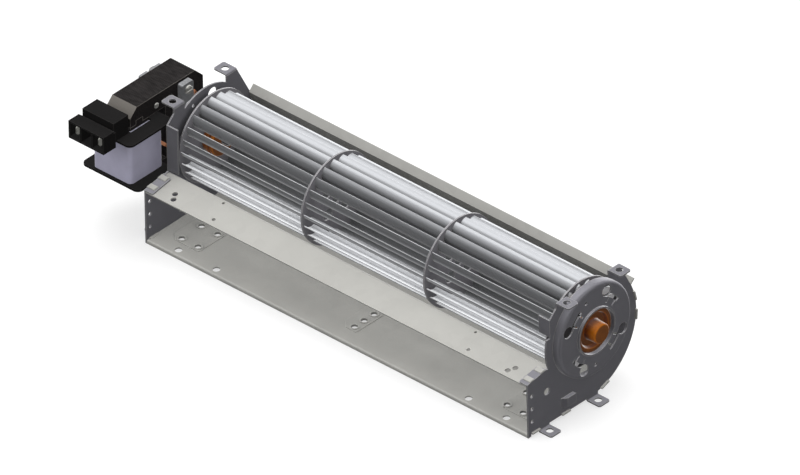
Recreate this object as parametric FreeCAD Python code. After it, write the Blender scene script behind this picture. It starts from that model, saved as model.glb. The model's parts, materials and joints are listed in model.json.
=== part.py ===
import FreeCAD, Part
import math
import os

Vector = FreeCAD.Vector

# Cross flow fan: a long bladed impeller in a folded sheet housing, turned by a C-frame motor.
# Every piece is drawn about the impeller axis: X along the axis towards the bearing end,
# -Y towards the outlet, Z up. At the end all pieces move so that the origin is the middle
# of the four foot holes, on the face that the feet stand on.

# Housing sheet
SHEET = 1.0
BEND = 0.4
FIT = 0.1
TOUCH = 0.05

# Impeller
DISC_RADIUS = 30.8
DISC_THICK = 1.0
SECTION_LENGTH = 100.0
SECTIONS = 3
BLADE_COUNT = 22
BLADE_TIP_RADIUS = 29.0
BLADE_ROOT_RADIUS = 22.0
BLADE_LEAD_ANGLE = 12.0
BLADE_RISE = 1.6
BLADE_THICK = 0.5
BLADE_STICKOUT = 0.8
BLADE_TAB_DEPTH = 3.0
BLADE_START_ANGLE = 10.8
SLOT_CLEARANCE = 0.1
DISC_WINDOW_REACH = 11.0
DISC_WINDOW_RADIUS = 4.0
DISC_WINDOWS = 4
DISC_CENTRE_RADIUS = 3.5

# End plates
PLATE_GAP = 5.0
CHEEK_RADIUS = 38.0
CHEEK_TOP = 9.0
CHEEK_START_ANGLE = 197.0
STEP_Y = -34.0
SHOULDER_Z = 22.0
SHOULDER_RISE = 5.6
DISH_RADIUS = 32.0
DISH_DEPTH = 5.5
DISH_ROUND = 2.4
MOTOR_RIM_RADIUS = 32.3
MOTOR_DISH_RADIUS = 20.6
COLLAR_RADIUS = 16.2
COLLAR_RISE = 1.6
TAB_WIDTH = 9.4
TAB_LENGTH = 10.0
TAB_ROUND = 1.5
TAB_ROOT = 4.0
TAB_HOLE_RADIUS = 2.4
TAB_HOLE_REACH = 4.5
TAB_TOP = 32.0
FRONT_TAB_Y = -23.3
REAR_TAB_Y = 23.0
FRONT_FOOT_Y = -40.7
REAR_FOOT_Y = 2.1
LEDGE_WIDTH = 6.0
LEDGE_INSET = 3.0
WING_WIDTH = 8.0
WING_BOTTOM = 10.0
MOTOR_WING_BOTTOM = -10.0
SIDE_HOLE_RADIUS = 1.2
SIDE_HOLE_INSET = 3.6
SIDE_HOLE_ZS = (-24.0, -33.3, -42.4)
LOCATOR_Y = -37.6
LOCATOR_Z = -27.4
LOCATOR_RADIUS = 2.4
LANCE_FRONT = -25.7
LANCE_BACK = -15.1
LANCE_RAMP = 3.1
LANCE_RISE = 2.7
LANCE_TOP = -39.0
LANCE_HEIGHT = 6.3
LANCE_WALL_STEP = 0.4

# Bayonet windows in each dish: a round eye that runs into a curved slot, with slits beside it
WINDOW_ANGLES = (55.0, 145.0, 235.0, 325.0)
EYE_ANGLE = 11.0
EYE_REACH = 26.0
EYE_RADIUS = 3.9
SLOT_INNER_RADIUS = 21.9
SLOT_OUTER_RADIUS = 24.3
SLOT_START_ANGLE = -23.0
SLIT_INNER_RADIUS = 18.2
SLIT_HALF_WIDTH = 0.6
SLIT_ANGLES = (-18.0, 2.0)
DISH_HOLE_RADIUS = 1.2
DISH_HOLE_REACH = 24.6
DISH_HOLE_ANGLES = (108.0, 269.0)
MOTOR_EYE_ANGLES = (77.0, 167.0, 257.0, 347.0)
MOTOR_SLOT_SWEEP = 34.0
MOTOR_HOLE_REACH = 27.3
MOTOR_HOLE_ANGLES = (114.0, 294.0)

# Scroll sheet
BASE_Z = -53.0
FLOOR_TOP = -50.0
SCROLL_RADIUS = 43.8
SCROLL_Y = -2.0
LIP_ANGLE = 23.4
LIP_SLOPE_ANGLE = 45.0
LIP_LENGTH = 5.8
FLOOR_BREAK_Y = -41.8
FLOOR_FALL = 0.6
MOUTH_Y = -54.6
PAD_RISE = 0.5
PAD_FRONT = -44.0
PAD_BACK = -19.8
PAD_CORNER = 5.0
PAD_ROUND = 1.5
SIDE_PAD_INSET = 3.0
SIDE_PAD_WIDTH = 24.5
SIDE_HOLE_INSETS = (10.6, 23.8)
SIDE_HOLE_YS = (-40.7, -23.4)
CENTRE_PAD_LEFT = -7.6
CENTRE_PAD_RIGHT = 6.0
CENTRE_HOLE_X = 1.6
CENTRE_HOLE_YS = (-40.7, -32.1, -23.4)
PAD_HOLE_RADIUS = 2.1
PAD_HOLE_WALL = 0.9
PAD_HOLE_RIM = 0.6
DRAIN_RADIUS = 2.4
DRAIN_INSETS = (16.0, 47.0)
DRAIN_BACK = 5.0
LOCK_WIDTH = 7.0
LOCK_STICKOUT = 1.3
LOCK_FLOOR_YS = (-48.5, -22.0)
LOCK_ANGLES = (-70.5, -5.6, 13.0)

# Tongue panel
PANEL_FRONT_Z = -15.2
PANEL_BACK_Y = -33.0
PANEL_BACK_Z = -11.6
TONGUE_DROP = 7.0
TONGUE_LEAN = 0.6
TONGUE_BEND = 1.5
PEG_LENGTH = 5.0
PEG_WIDTH = 3.0
PEG_HEAD_WIDTH = 3.9
PEG_HEAD_RISE = 0.9
PEG_HEAD_BEVEL = 0.4
PEG_YS = (-50.1, -40.3)
PANEL_END_HOLES = ((13.5, 4.3, 1.9), (11.0, 8.4, 1.9), (46.0, 4.6, 1.3))
PANEL_REAR_HOLE_INSETS = (41.0, 53.0)
PANEL_REAR_HOLE_BACK = 3.0
PANEL_REAR_HOLE_RADIUS = 1.0

# Bearing end
STUB_RADIUS = 2.5
STUB_CLEARANCE = 1.0
CHAMFER = 0.6
BEARING_RADIUS = 5.5
BEARING_LENGTH = 9.0
BEARING_BEVEL = 0.5
RUBBER_HUB_RADIUS = 6.6
RUBBER_HUB_RISE = 5.7
RUBBER_RING_RADIUS = 12.2
RUBBER_RING_DROP = 0.6
RUBBER_WEB_DROP = 3.4
RUBBER_WEB = 2.0
RUBBER_CAP = 1.6
RUBBER_LIP = 1.8
RUBBER_LIP_WIDTH = 1.5
RUNNING_GAP = 0.03

# Shaft coupling and bearing hub
SHAFT_RADIUS = 2.0
SHAFT_REACH = 13.5
COUPLING_RADIUS = 10.5
COUPLING_WAIST_RADIUS = 8.0
COUPLING_GROOVE = 2.6
COUPLING_INNER_LENGTH = 7.8
COUPLING_OUTER_LENGTH = 2.0
HUB_RADIUS = 9.0
HUB_SPIGOT_RADIUS = 6.0
HUB_LENGTH = 5.0
HUB_FLANGE = 2.0
HUB_STICKOUT = 1.0

# Motor stack
MOTOR_STANDOFF = 12.0
STACK_THICK = 20.0
STACK_FRONT = -47.0
STACK_BACK = 17.3
STACK_HALF_HEIGHT = 31.0
LIMB_THICK = 12.4
LIMB_BEVEL = 6.0
STACK_BEVEL = 6.8
STACK_ROUND = 1.5
BORE_RADIUS = 13.0
POLE_FRONT = -16.0
POLE_GAP = 2.4
POLE_GAP_REACH = 1.5
CORE_WIDTH = 16.0
CORE_TONGUE = 6.0
CORE_TONGUE_RISE = 3.0
STACK_RIVET_Y = -24.0
STACK_RIVET_RADIUS = 1.2
STACK_RIVET_DROP = 1.5
RIVET_HEAD_RADIUS = 1.8
RIVET_HEAD_RISE = 0.9
RIVET_HEAD_BEVEL = 0.5

# Rotor
AIR_GAP = 0.4
END_RING_RADIUS = 11.4
END_RING_RISE = 1.6

# Shading rings
RING_SECTION = 2.0
RING_ROUND = 1.2
RING_LEGS = (((-17.9, -8.0), (-8.4, -17.0)), ((13.4, 9.2), (8.4, 17.0)))

# Coil
WINDING_BUILD_X = 5.5
WINDING_BUILD_Y = 6.5
WINDING_ROUND = 3.0
BOBBIN_WALL = 0.8
FLANGE_THICK = 1.5
FLANGE_OVERHANG_X = 13.5
TOP_FLANGE_OVERHANG = 7.5
FLANGE_FRONT = -55.5
FLANGE_BACK = -23.0
FLANGE_ROUND = 4.0
SHELF_FRONT = -61.8
FLANGE_SLOT_FRONT = -49.8
FLANGE_SLOT_BACK = -31.5
FLANGE_SLOT_WIDTH = 3.0

# Connector
PLUG_FRONT = -75.3
PLUG_BACK = -64.5
PLUG_BOTTOM = 15.6
PLUG_TOP = 28.0
PLUG_WIDTH = 28.6
HOOD_BACK = -50.7
HOOD_TOP = 32.0
HOOD_WIDTH = 25.4
HOOD_BEVEL = 0.8
CAVITY_COUNT = 3
CAVITY_WALL = 1.1
CAVITY_DEPTH = 9.5
GROOVE_WIDTH = 1.6
GROOVE_DEPTH = 1.4
TERMINAL_THICK = 0.8
TERMINAL_WIDTH = 6.3
TERMINAL_BEVEL = 1.2
TERMINAL_HOLE_RADIUS = 0.8
TERMINAL_HOLE_BACK = 3.4
TERMINAL_SETBACK = 1.5
TERMINAL_LENGTH = 12.0
TERMINAL_OFFSET = -0.2

# Motor bearing bridges
BRIDGE_WIDTH = 10.0
BRIDGE_TOP = 29.0
BRIDGE_ROUND = 1.5
BRIDGE_THICK = 3.8
BRIDGE_RECESS = 2.6
BRIDGE_SCREW_Z = 24.4
REAR_BRIDGE_THICK = 3.6
REAR_EAR_FRONT = -14.0
REAR_EAR_BACK = -6.5
REAR_EAR_ROOT = 20.0
BOSS_RADIUS = 8.5
REAR_BOSS_RISE = 5.4
REAR_BOSS_CAP = 1.0
FLANGE_RADIUS = 16.5
MOUNT_FLANGE = 2.5
SPIGOT_RADIUS = 8.9
SPIGOT_RISE = 1.8
MOTOR_BUSH_RADIUS = 5.0
MOTOR_BUSH_LENGTH = 8.0
SHAFT_CLEARANCE = 0.6
WASHER_RADIUS = 4.0
WASHER_THICK = 0.8
MOUNT_SCREW_RADIUS = 1.5
MOUNT_SCREW_REACH = 12.4
MOUNT_SCREW_COUNT = 3
MOUNT_PILLAR_RADIUS = 3.2
THREAD_END = 1.0
SCREW_HEAD_RADIUS = 2.8
SCREW_HEAD_RISE = 1.8
SCREW_HEAD_BEVEL = 0.6
SCREW_SLOT_WIDTH = 0.7
BRIDGE_SCREW_RADIUS = 1.5
SCREW_TAIL = 0.8
NUT_ACROSS = 5.5
NUT_THICK = 2.4

# Worked out from the values above
HALF_SPAN = SECTIONS * SECTION_LENGTH / 2
LAST_DISC_FACE = HALF_SPAN + DISC_THICK / 2
BLADE_END = LAST_DISC_FACE + BLADE_STICKOUT
PLATE_IN = LAST_DISC_FACE + PLATE_GAP
PLATE_OUT = PLATE_IN + SHEET
PLATE_MIDDLE = PLATE_IN + SHEET / 2
TAB_END = PLATE_OUT + TAB_LENGTH
SHEET_END = PLATE_IN - FIT
DISH_IN = PLATE_IN + DISH_DEPTH
DISH_OUT = DISH_IN + SHEET
COLLAR_END = DISH_OUT + COLLAR_RISE
RUBBER_END = DISH_OUT + RUBBER_HUB_RISE
FLOOR_BOTTOM = FLOOR_TOP - SHEET
SCROLL_Z = FLOOR_BOTTOM + SCROLL_RADIUS
PANEL_SLOPE = (PANEL_BACK_Z - PANEL_FRONT_Z) / (PANEL_BACK_Y - MOUTH_Y)
PANEL_ANGLE = math.degrees(math.atan(PANEL_SLOPE))
STACK_FACE = -DISH_OUT - MOTOR_STANDOFF
STACK_BACK_FACE = STACK_FACE - STACK_THICK
STACK_MIDDLE = STACK_FACE - STACK_THICK / 2
WINDOW_HALF = STACK_HALF_HEIGHT - LIMB_THICK
CORE_MIDDLE = STACK_FRONT + CORE_WIDTH / 2
LIMB_MIDDLE = STACK_HALF_HEIGHT - LIMB_THICK / 2
STACK_RIVET_Z = LIMB_MIDDLE - STACK_RIVET_DROP
BOBBIN_TOP = WINDOW_HALF - TOUCH
BRIDGE_FACE = STACK_FACE + BRIDGE_THICK
REAR_BRIDGE_FACE = STACK_BACK_FACE - REAR_BRIDGE_THICK
REAR_BOSS_FACE = REAR_BRIDGE_FACE - REAR_BOSS_RISE
FRONT_BUSH_START = -DISH_OUT + SPIGOT_RISE - MOTOR_BUSH_LENGTH
CAVITY_WIDTH = (PLUG_WIDTH - (CAVITY_COUNT + 1) * CAVITY_WALL) / CAVITY_COUNT
PLUG_MIDDLE_Z = (PLUG_BOTTOM + PLUG_TOP) / 2
TERMINAL_FRONT = PLUG_FRONT + TERMINAL_SETBACK
SHAFT_Y = -(FRONT_FOOT_Y + REAR_FOOT_Y) / 2
SHAFT_Z = -BASE_Z


def box(x0, x1, y0, y1, z0, z1):
    return Part.makeBox(x1 - x0, y1 - y0, z1 - z0, Vector(x0, y0, z0))


def rod(radius, x0, x1, y=0.0, z=0.0):
    return Part.makeCylinder(radius, x1 - x0, Vector(x0, y, z), Vector(1, 0, 0))


def post(radius, x, y, z0, z1):
    return Part.makeCylinder(radius, z1 - z0, Vector(x, y, z0), Vector(0, 0, 1))


def tube(outer, inner, x0, x1):
    return rod(outer, x0, x1).cut(rod(inner, x0, x1))


def polar(radius, degrees, y=0.0, z=0.0):
    angle = math.radians(degrees)
    return (y + radius * math.cos(angle), z + radius * math.sin(angle))


def on_yz(x):
    return lambda point: Vector(x, point[0], point[1])


def on_xz(y):
    return lambda point: Vector(point[0], y, point[1])


def on_xy(z):
    return lambda point: Vector(point[0], point[1], z)


def about_axis(shape, degrees):
    """A copy turned about the impeller axis."""
    copy = shape.copy()
    copy.rotate(Vector(0, 0, 0), Vector(1, 0, 0), degrees)
    return copy


def mirrored(shape):
    """The same piece at the other end of the fan."""
    return shape.mirror(Vector(0, 0, 0), Vector(1, 0, 0))


def rounded_edges(corners, place, closed):
    """Straight runs joined by tangent arcs. A corner is (a, b, radius)."""
    count = len(corners)
    ends = []
    for index in range(count):
        a, b, radius = corners[index]
        here = Vector(a, b, 0)
        if radius < 1e-6 or (not closed and index in (0, count - 1)):
            ends.append((here, here, here))
            continue
        before = Vector(*corners[index - 1][:2], 0) - here
        after = Vector(*corners[(index + 1) % count][:2], 0) - here
        before.normalize()
        after.normalize()
        half = before.getAngle(after) / 2
        reach = radius / math.tan(half)
        inward = (before + after).normalize()
        middle = here + inward * (radius / math.sin(half) - radius)
        ends.append((here + before * reach, middle, here + after * reach))
    edges = []
    for index in range(count):
        start, middle, stop = ends[index]
        if start.distanceToPoint(stop) > 1e-6:
            points = [place((p.x, p.y)) for p in (start, middle, stop)]
            edges.append(Part.Arc(*points).toShape())
        if closed or index < count - 1:
            following = ends[(index + 1) % count][0]
            if stop.distanceToPoint(following) > 1e-6:
                edges.append(Part.makeLine(place((stop.x, stop.y)), place((following.x, following.y))))
    return edges


def flat_plate(corners, place, along):
    wire = Part.Wire(rounded_edges(corners, place, True))
    return Part.Face(wire).extrude(along)


def bent_strip(corners, thickness, place, along):
    """A folded sheet: corners give the middle of its wall as (a, b, middle bend radius)."""
    points = [Vector(a, b, 0) for a, b, radius in corners]
    radii = [radius for a, b, radius in corners]
    sides = []
    for side in (1, -1):
        shift = side * thickness / 2
        outline = []
        for index in range(len(points)):
            ins = points[index] - points[index - 1] if index else points[1] - points[0]
            outs = points[index + 1] - points[index] if index + 1 < len(points) else ins
            ins = Vector(ins).normalize()
            outs = Vector(outs).normalize()
            normal = Vector(-ins.y - outs.y, ins.x + outs.x, 0).normalize()
            mitre = shift / normal.dot(Vector(-ins.y, ins.x, 0))
            turn = ins.cross(outs).z
            radius = radii[index] - shift if turn > 0 else radii[index] + shift
            spot = points[index] + normal * mitre
            outline.append((spot.x, spot.y, radius if radii[index] else 0.0))
        sides.append(outline)
    return flat_plate(sides[0] + sides[1][::-1], place, along)


def turned(profile):
    """A turned piece from (x, radius, corner radius) points."""
    wire = Part.Wire(rounded_edges(profile, on_xz(0), True))
    return Part.Face(wire).revolve(Vector(0, 0, 0), Vector(1, 0, 0), 360)


def sector(inner, outer, start, stop, x0, x1):
    """A block between two radii and two angles about the axis."""
    place = on_yz(x0)
    middle = (start + stop) / 2
    edges = [
        Part.Arc(*[place(polar(outer, angle)) for angle in (start, middle, stop)]).toShape(),
        Part.makeLine(place(polar(outer, stop)), place(polar(inner, stop))),
        Part.Arc(*[place(polar(inner, angle)) for angle in (stop, middle, start)]).toShape(),
        Part.makeLine(place(polar(inner, start)), place(polar(outer, start))),
    ]
    return Part.Face(Part.Wire(edges)).extrude(Vector(x1 - x0, 0, 0))


# Impeller

def blade_section(spread, x):
    """The curved section of one blade, widened by spread on every side."""
    tip = Vector(*polar(BLADE_TIP_RADIUS, 0), 0)
    root = Vector(*polar(BLADE_ROOT_RADIUS, BLADE_LEAD_ANGLE), 0)
    chord = (root - tip).Length
    along = (root - tip).normalize()
    back = Vector(along.y, -along.x, 0)
    radius = chord * chord / (8 * BLADE_RISE) + BLADE_RISE / 2
    centre = (root + tip) * 0.5 - back * (radius - BLADE_RISE)
    half = math.asin(chord / 2 / radius) + spread / radius
    grown = BLADE_THICK / 2 + spread
    ends = []
    for reach in (radius + grown, radius - grown):
        spots = []
        for swing in (-half, 0, half):
            spots.append(centre + (back * math.cos(swing) + along * math.sin(swing)) * reach)
        ends.append([Vector(x, spot.x, spot.y) for spot in spots])
    outer, inner = ends
    edges = [
        Part.Arc(*outer).toShape(),
        Part.makeLine(outer[2], inner[2]),
        Part.Arc(*inner[::-1]).toShape(),
        Part.makeLine(inner[0], outer[0]),
    ]
    return Part.Face(Part.Wire(edges))


def blade_angle(index):
    return BLADE_START_ANGLE + index * 360.0 / BLADE_COUNT


def blade_tab(x0, x1):
    """The leaf at a blade's end, folded flat over the outer face of an end disc."""
    tip = Vector(*polar(BLADE_TIP_RADIUS, 0), 0)
    root = Vector(*polar(BLADE_ROOT_RADIUS, BLADE_LEAD_ANGLE), 0)
    along = (root - tip).normalize()
    back = Vector(along.y, -along.x, 0)
    middle = (root + tip) * 0.5
    spots = [tip, middle + back * BLADE_RISE, root, middle - back * BLADE_TAB_DEPTH]
    start, outer, stop, inner = [Vector(x0, spot.x, spot.y) for spot in spots]
    edges = [Part.Arc(start, outer, stop).toShape(), Part.Arc(stop, inner, start).toShape()]
    return Part.Face(Part.Wire(edges)).extrude(Vector(x1 - x0, 0, 0))


def blade(index):
    """A curved strip the length of the impeller, with a folded leaf at each end."""
    body = blade_section(0.0, -BLADE_END).extrude(Vector(2 * BLADE_END, 0, 0))
    face = LAST_DISC_FACE + FIT
    body = body.fuse([blade_tab(face, BLADE_END), blade_tab(-BLADE_END, -face)])
    return about_axis(body, blade_angle(index))


def disc(index):
    """A thin disc with a curved slot for each blade."""
    middle = -HALF_SPAN + index * SECTION_LENGTH
    x0, x1 = middle - DISC_THICK / 2, middle + DISC_THICK / 2
    slot = blade_section(SLOT_CLEARANCE, x0).extrude(Vector(DISC_THICK, 0, 0))
    holes = [about_axis(slot, blade_angle(number)) for number in range(BLADE_COUNT)]
    if index == 0:
        holes.append(rod(COUPLING_WAIST_RADIUS, x0, x1))
    elif index == SECTIONS:
        holes.append(rod(HUB_SPIGOT_RADIUS, x0, x1))
    else:
        holes.append(rod(DISC_CENTRE_RADIUS, x0, x1))
        for number in range(DISC_WINDOWS):
            y, z = polar(DISC_WINDOW_REACH, (number + 0.5) * 360.0 / DISC_WINDOWS)
            holes.append(rod(DISC_WINDOW_RADIUS, x0, x1, y, z))
    return rod(DISC_RADIUS, x0, x1).cut(holes)


def shaft_coupling():
    """The soft hub that grips the motor shaft and the first disc, with a groove that lets it flex."""
    inside = -HALF_SPAN + DISC_THICK / 2
    outside = -LAST_DISC_FACE
    end = inside + COUPLING_INNER_LENGTH
    groove = inside + COUPLING_INNER_LENGTH * 0.55
    profile = [
        (outside - COUPLING_OUTER_LENGTH, SHAFT_RADIUS, 0),
        (outside - COUPLING_OUTER_LENGTH, COUPLING_RADIUS, CHAMFER),
        (outside, COUPLING_RADIUS, 0),
        (outside, COUPLING_WAIST_RADIUS, 0),
        (inside, COUPLING_WAIST_RADIUS, 0),
        (inside, COUPLING_RADIUS, 0),
        (groove - COUPLING_GROOVE / 2, COUPLING_RADIUS, 0),
        (groove, COUPLING_RADIUS - COUPLING_GROOVE, 0),
        (groove + COUPLING_GROOVE / 2, COUPLING_RADIUS, 0),
        (end, COUPLING_RADIUS, 1.2),
        (end, SHAFT_RADIUS, 0),
    ]
    return turned(profile)


def bearing_hub():
    """The flanged hub riveted into the last disc, which carries the stub shaft."""
    face = HALF_SPAN - DISC_THICK / 2
    end = LAST_DISC_FACE + HUB_STICKOUT
    profile = [
        (face - HUB_LENGTH, STUB_RADIUS, 0),
        (face - HUB_LENGTH, HUB_SPIGOT_RADIUS, 0),
        (face - HUB_FLANGE, HUB_SPIGOT_RADIUS, 0),
        (face - HUB_FLANGE, HUB_RADIUS, CHAMFER),
        (face, HUB_RADIUS, 0),
        (face, HUB_SPIGOT_RADIUS, 0),
        (end, HUB_SPIGOT_RADIUS, 0),
        (end, STUB_RADIUS, 0),
    ]
    return turned(profile)


def bevelled_shaft(radius, x0, x1):
    """A plain shaft with a bevel at the end that goes into its bearing or coupling."""
    return turned([(x0, 0, 0), (x0, radius, 0), (x1 - CHAMFER, radius, 0), (x1, radius - CHAMFER, 0), (x1, 0, 0)])


def stub_shaft():
    hub_end = HALF_SPAN - DISC_THICK / 2 - HUB_LENGTH
    return bevelled_shaft(STUB_RADIUS, hub_end, RUBBER_END - RUBBER_CAP - STUB_CLEARANCE)


def motor_shaft():
    rear_end = REAR_BOSS_FACE + REAR_BOSS_CAP + FIT
    return bevelled_shaft(SHAFT_RADIUS, rear_end, -HALF_SPAN + SHAFT_REACH)


def motor_rotor():
    """The laminated rotor with its cast end rings."""
    x0 = STACK_BACK_FACE - END_RING_RISE
    x1 = STACK_FACE + END_RING_RISE
    profile = [
        (x0, SHAFT_RADIUS, 0),
        (x0, END_RING_RADIUS, 0),
        (STACK_BACK_FACE, END_RING_RADIUS, 0),
        (STACK_BACK_FACE, BORE_RADIUS - AIR_GAP, 0),
        (STACK_FACE, BORE_RADIUS - AIR_GAP, 0),
        (STACK_FACE, END_RING_RADIUS, 0),
        (x1, END_RING_RADIUS, 0),
        (x1, SHAFT_RADIUS, 0),
    ]
    return turned(profile)


def thrust_washers():
    front = STACK_FACE + END_RING_RISE
    rear = STACK_BACK_FACE - END_RING_RISE
    ring = tube(WASHER_RADIUS, SHAFT_RADIUS, front, front + WASHER_THICK)
    other = tube(WASHER_RADIUS, SHAFT_RADIUS, rear - WASHER_THICK, rear)
    return Part.makeCompound([ring, other])


# End plates, drawn for the bearing end and mirrored for the motor end

def panel_z(y):
    """Height of the tongue panel's top face."""
    return PANEL_FRONT_Z + (y - MOUTH_Y) * PANEL_SLOPE


def plate_outline(bulge, rim):
    """The sheet's edge seen along the axis, as straight runs and arcs."""
    place = on_yz(PLATE_IN)
    half = TAB_WIDTH / 2
    tab_root = TAB_TOP - SHEET
    ledge_rise = SHEET / 2
    scroll_top = polar(SCROLL_RADIUS, LIP_ANGLE, SCROLL_Y, SCROLL_Z)
    scroll_middle = polar(SCROLL_RADIUS, (LIP_ANGLE - 90) / 2, SCROLL_Y, SCROLL_Z)
    scroll_bottom = (SCROLL_Y, FLOOR_BOTTOM)
    rim_front = polar(rim, math.degrees(math.acos((FRONT_TAB_Y + half) / rim)))
    rim_rear = polar(rim, math.degrees(math.acos((REAR_TAB_Y - half) / rim)))
    edges = []

    def line(*points):
        for start, stop in zip(points, points[1:]):
            edges.append(Part.makeLine(place(start), place(stop)))

    def arc(start, middle, stop):
        edges.append(Part.Arc(place(start), place(middle), place(stop)).toShape())

    if bulge:
        cheek_stop = 180 - math.degrees(math.asin(CHEEK_TOP / CHEEK_RADIUS))
        first = polar(CHEEK_RADIUS, CHEEK_START_ANGLE)
        cheek_middle = polar(CHEEK_RADIUS, (CHEEK_START_ANGLE + cheek_stop) / 2)
        cheek_high = polar(CHEEK_RADIUS, cheek_stop)
        arc(first, cheek_middle, cheek_high)
        line(cheek_high, (STEP_Y, CHEEK_TOP), (STEP_Y, SHOULDER_Z))
    else:
        first = (STEP_Y, panel_z(STEP_Y) + 2 * SHEET)
        line(first, (STEP_Y, SHOULDER_Z))
    line((STEP_Y, SHOULDER_Z), (FRONT_TAB_Y - half, SHOULDER_Z + SHOULDER_RISE), (FRONT_TAB_Y - half, tab_root),
         (FRONT_TAB_Y + half, tab_root), rim_front)
    arc(rim_front, polar(rim, 90), rim_rear)
    line(rim_rear, (REAR_TAB_Y - half, tab_root), (REAR_TAB_Y + half, tab_root), scroll_top)
    arc(scroll_top, scroll_middle, scroll_bottom)
    line(scroll_bottom, (FLOOR_BREAK_Y, FLOOR_BOTTOM), (MOUTH_Y, BASE_Z), (MOUTH_Y, panel_z(MOUTH_Y) + ledge_rise),
         (first[0], panel_z(first[0]) + ledge_rise), first)
    return Part.Face(Part.Wire(Part.__sortEdges__(edges)))


def folded_tab(y, level, root):
    """A tab folded outward from the plate, with rounded corners and its hole."""
    path = [(PLATE_MIDDLE, root, 0), (PLATE_MIDDLE, level, SHEET / 2 + BEND), (TAB_END, level, 0)]
    strip = bent_strip(path, SHEET, on_xz(y - TAB_WIDTH / 2), Vector(0, TAB_WIDTH, 0))
    outer = [edge for edge in strip.Edges
             if abs(edge.BoundBox.XMin - TAB_END) < 1e-6 and edge.BoundBox.ZLength > SHEET / 2]
    strip = strip.makeFillet(TAB_ROUND, outer)
    return strip.cut(post(TAB_HOLE_RADIUS, PLATE_OUT + TAB_HOLE_REACH, y, level - SHEET, level + SHEET))


def top_tab(y):
    level = TAB_TOP - SHEET / 2
    return folded_tab(y, level, level - TAB_ROOT)


def foot(y):
    """A foot: the sheet reaches down to the base and folds outward."""
    return folded_tab(y, BASE_Z + SHEET / 2, FLOOR_TOP + SHEET)


def ledge():
    """The strip folded inward over the end of the tongue panel, slotted for the panel's pegs."""
    back = STEP_Y - LEDGE_INSET
    inner = PLATE_IN - LEDGE_WIDTH
    corners = [(inner, MOUTH_Y, SHEET), (PLATE_OUT, MOUTH_Y, 0), (PLATE_OUT, back, 0), (inner, back - SHEET, SHEET)]
    slab = flat_plate(corners, on_xy(0), Vector(0, 0, SHEET))
    for y in PEG_YS:
        x0 = PLATE_IN - PEG_LENGTH - FIT
        slab = slab.cut(box(x0, x0 + PEG_LENGTH, y - PEG_WIDTH / 2 - FIT, y + PEG_WIDTH / 2 + FIT, 0, SHEET))
    return laid_on_panel(slab)


def laid_on_panel(shape):
    """Tilts a piece drawn on the level to lie along the tongue panel's top face."""
    shape.rotate(Vector(0, MOUTH_Y, 0), Vector(1, 0, 0), PANEL_ANGLE)
    shape.translate(Vector(0, 0, PANEL_FRONT_Z))
    return shape


def wing(bottom):
    """The strip folded inward along the inlet edge."""
    return box(PLATE_IN - WING_WIDTH, PLATE_OUT, STEP_Y, STEP_Y + SHEET, bottom, SHOULDER_Z)


def lock_block(x1, depth, width, angle, y, proud):
    """A block at the scroll's outer face, from inside the plate to x1, at an angle about its centre."""
    block = box(PLATE_IN - 2 * SHEET, x1, SCROLL_RADIUS - depth, SCROLL_RADIUS + proud, -width / 2, width / 2)
    block.rotate(Vector(0, 0, 0), Vector(1, 0, 0), angle)
    block.translate(Vector(0, y, SCROLL_Z))
    return block


def lock_blocks(x1, depth, width, proud):
    """One block for every lock tab of an end."""
    blocks = [lock_block(x1, depth, width, angle, SCROLL_Y, proud) for angle in LOCK_ANGLES]
    return blocks + [lock_block(x1, depth, width, -90.0, y, proud) for y in LOCK_FLOOR_YS]


def bayonet_window(angle):
    """One window of the dish: the round eye, the curved slot and its slits, as one set of cutters."""
    x0, x1 = DISH_IN - SHEET, DISH_OUT + SHEET
    y, z = polar(EYE_REACH, angle + EYE_ANGLE)
    cutters = [rod(EYE_RADIUS, x0, x1, y, z)]
    cutters.append(sector(SLOT_INNER_RADIUS, SLOT_OUTER_RADIUS, angle + SLOT_START_ANGLE, angle + EYE_ANGLE, x0, x1))
    for slit in SLIT_ANGLES:
        bar = box(x0, x1, SLIT_INNER_RADIUS, SLOT_OUTER_RADIUS, -SLIT_HALF_WIDTH, SLIT_HALF_WIDTH)
        cutters.append(about_axis(bar, angle + slit))
    return cutters


def motor_window(angle):
    """The plainer window of the motor's plate: a round eye with a curved slot the other way."""
    y, z = polar(EYE_REACH, angle)
    slot = sector(SLOT_INNER_RADIUS, SLOT_OUTER_RADIUS, angle, angle + MOTOR_SLOT_SWEEP, PLATE_IN, PLATE_OUT)
    return [rod(EYE_RADIUS, PLATE_IN, PLATE_OUT, y, z), slot]


def round_holes(reach, angles, x0, x1):
    return [rod(DISH_HOLE_RADIUS, x0, x1, *polar(reach, angle)) for angle in angles]


def lance():
    """The shelf lanced outward above the foot, with a ramped front, and the hollow behind it."""
    bottom = LANCE_TOP - LANCE_HEIGHT
    crest = LANCE_FRONT + LANCE_RAMP
    step = LANCE_WALL_STEP
    outer = [(PLATE_IN, LANCE_FRONT, 0), (PLATE_OUT, LANCE_FRONT, 0), (PLATE_OUT + LANCE_RISE, crest, 0),
             (PLATE_OUT + LANCE_RISE, LANCE_BACK, 0), (PLATE_IN, LANCE_BACK, 0)]
    inner = [(PLATE_IN, LANCE_FRONT + step, 0), (PLATE_IN + LANCE_RISE, crest + step, 0),
             (PLATE_IN + LANCE_RISE, LANCE_BACK - SHEET, 0), (PLATE_IN, LANCE_BACK - SHEET, 0)]
    shelf = flat_plate(outer, on_xy(bottom), Vector(0, 0, LANCE_HEIGHT))
    return shelf, flat_plate(inner, on_xy(bottom), Vector(0, 0, LANCE_HEIGHT - SHEET))


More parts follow.
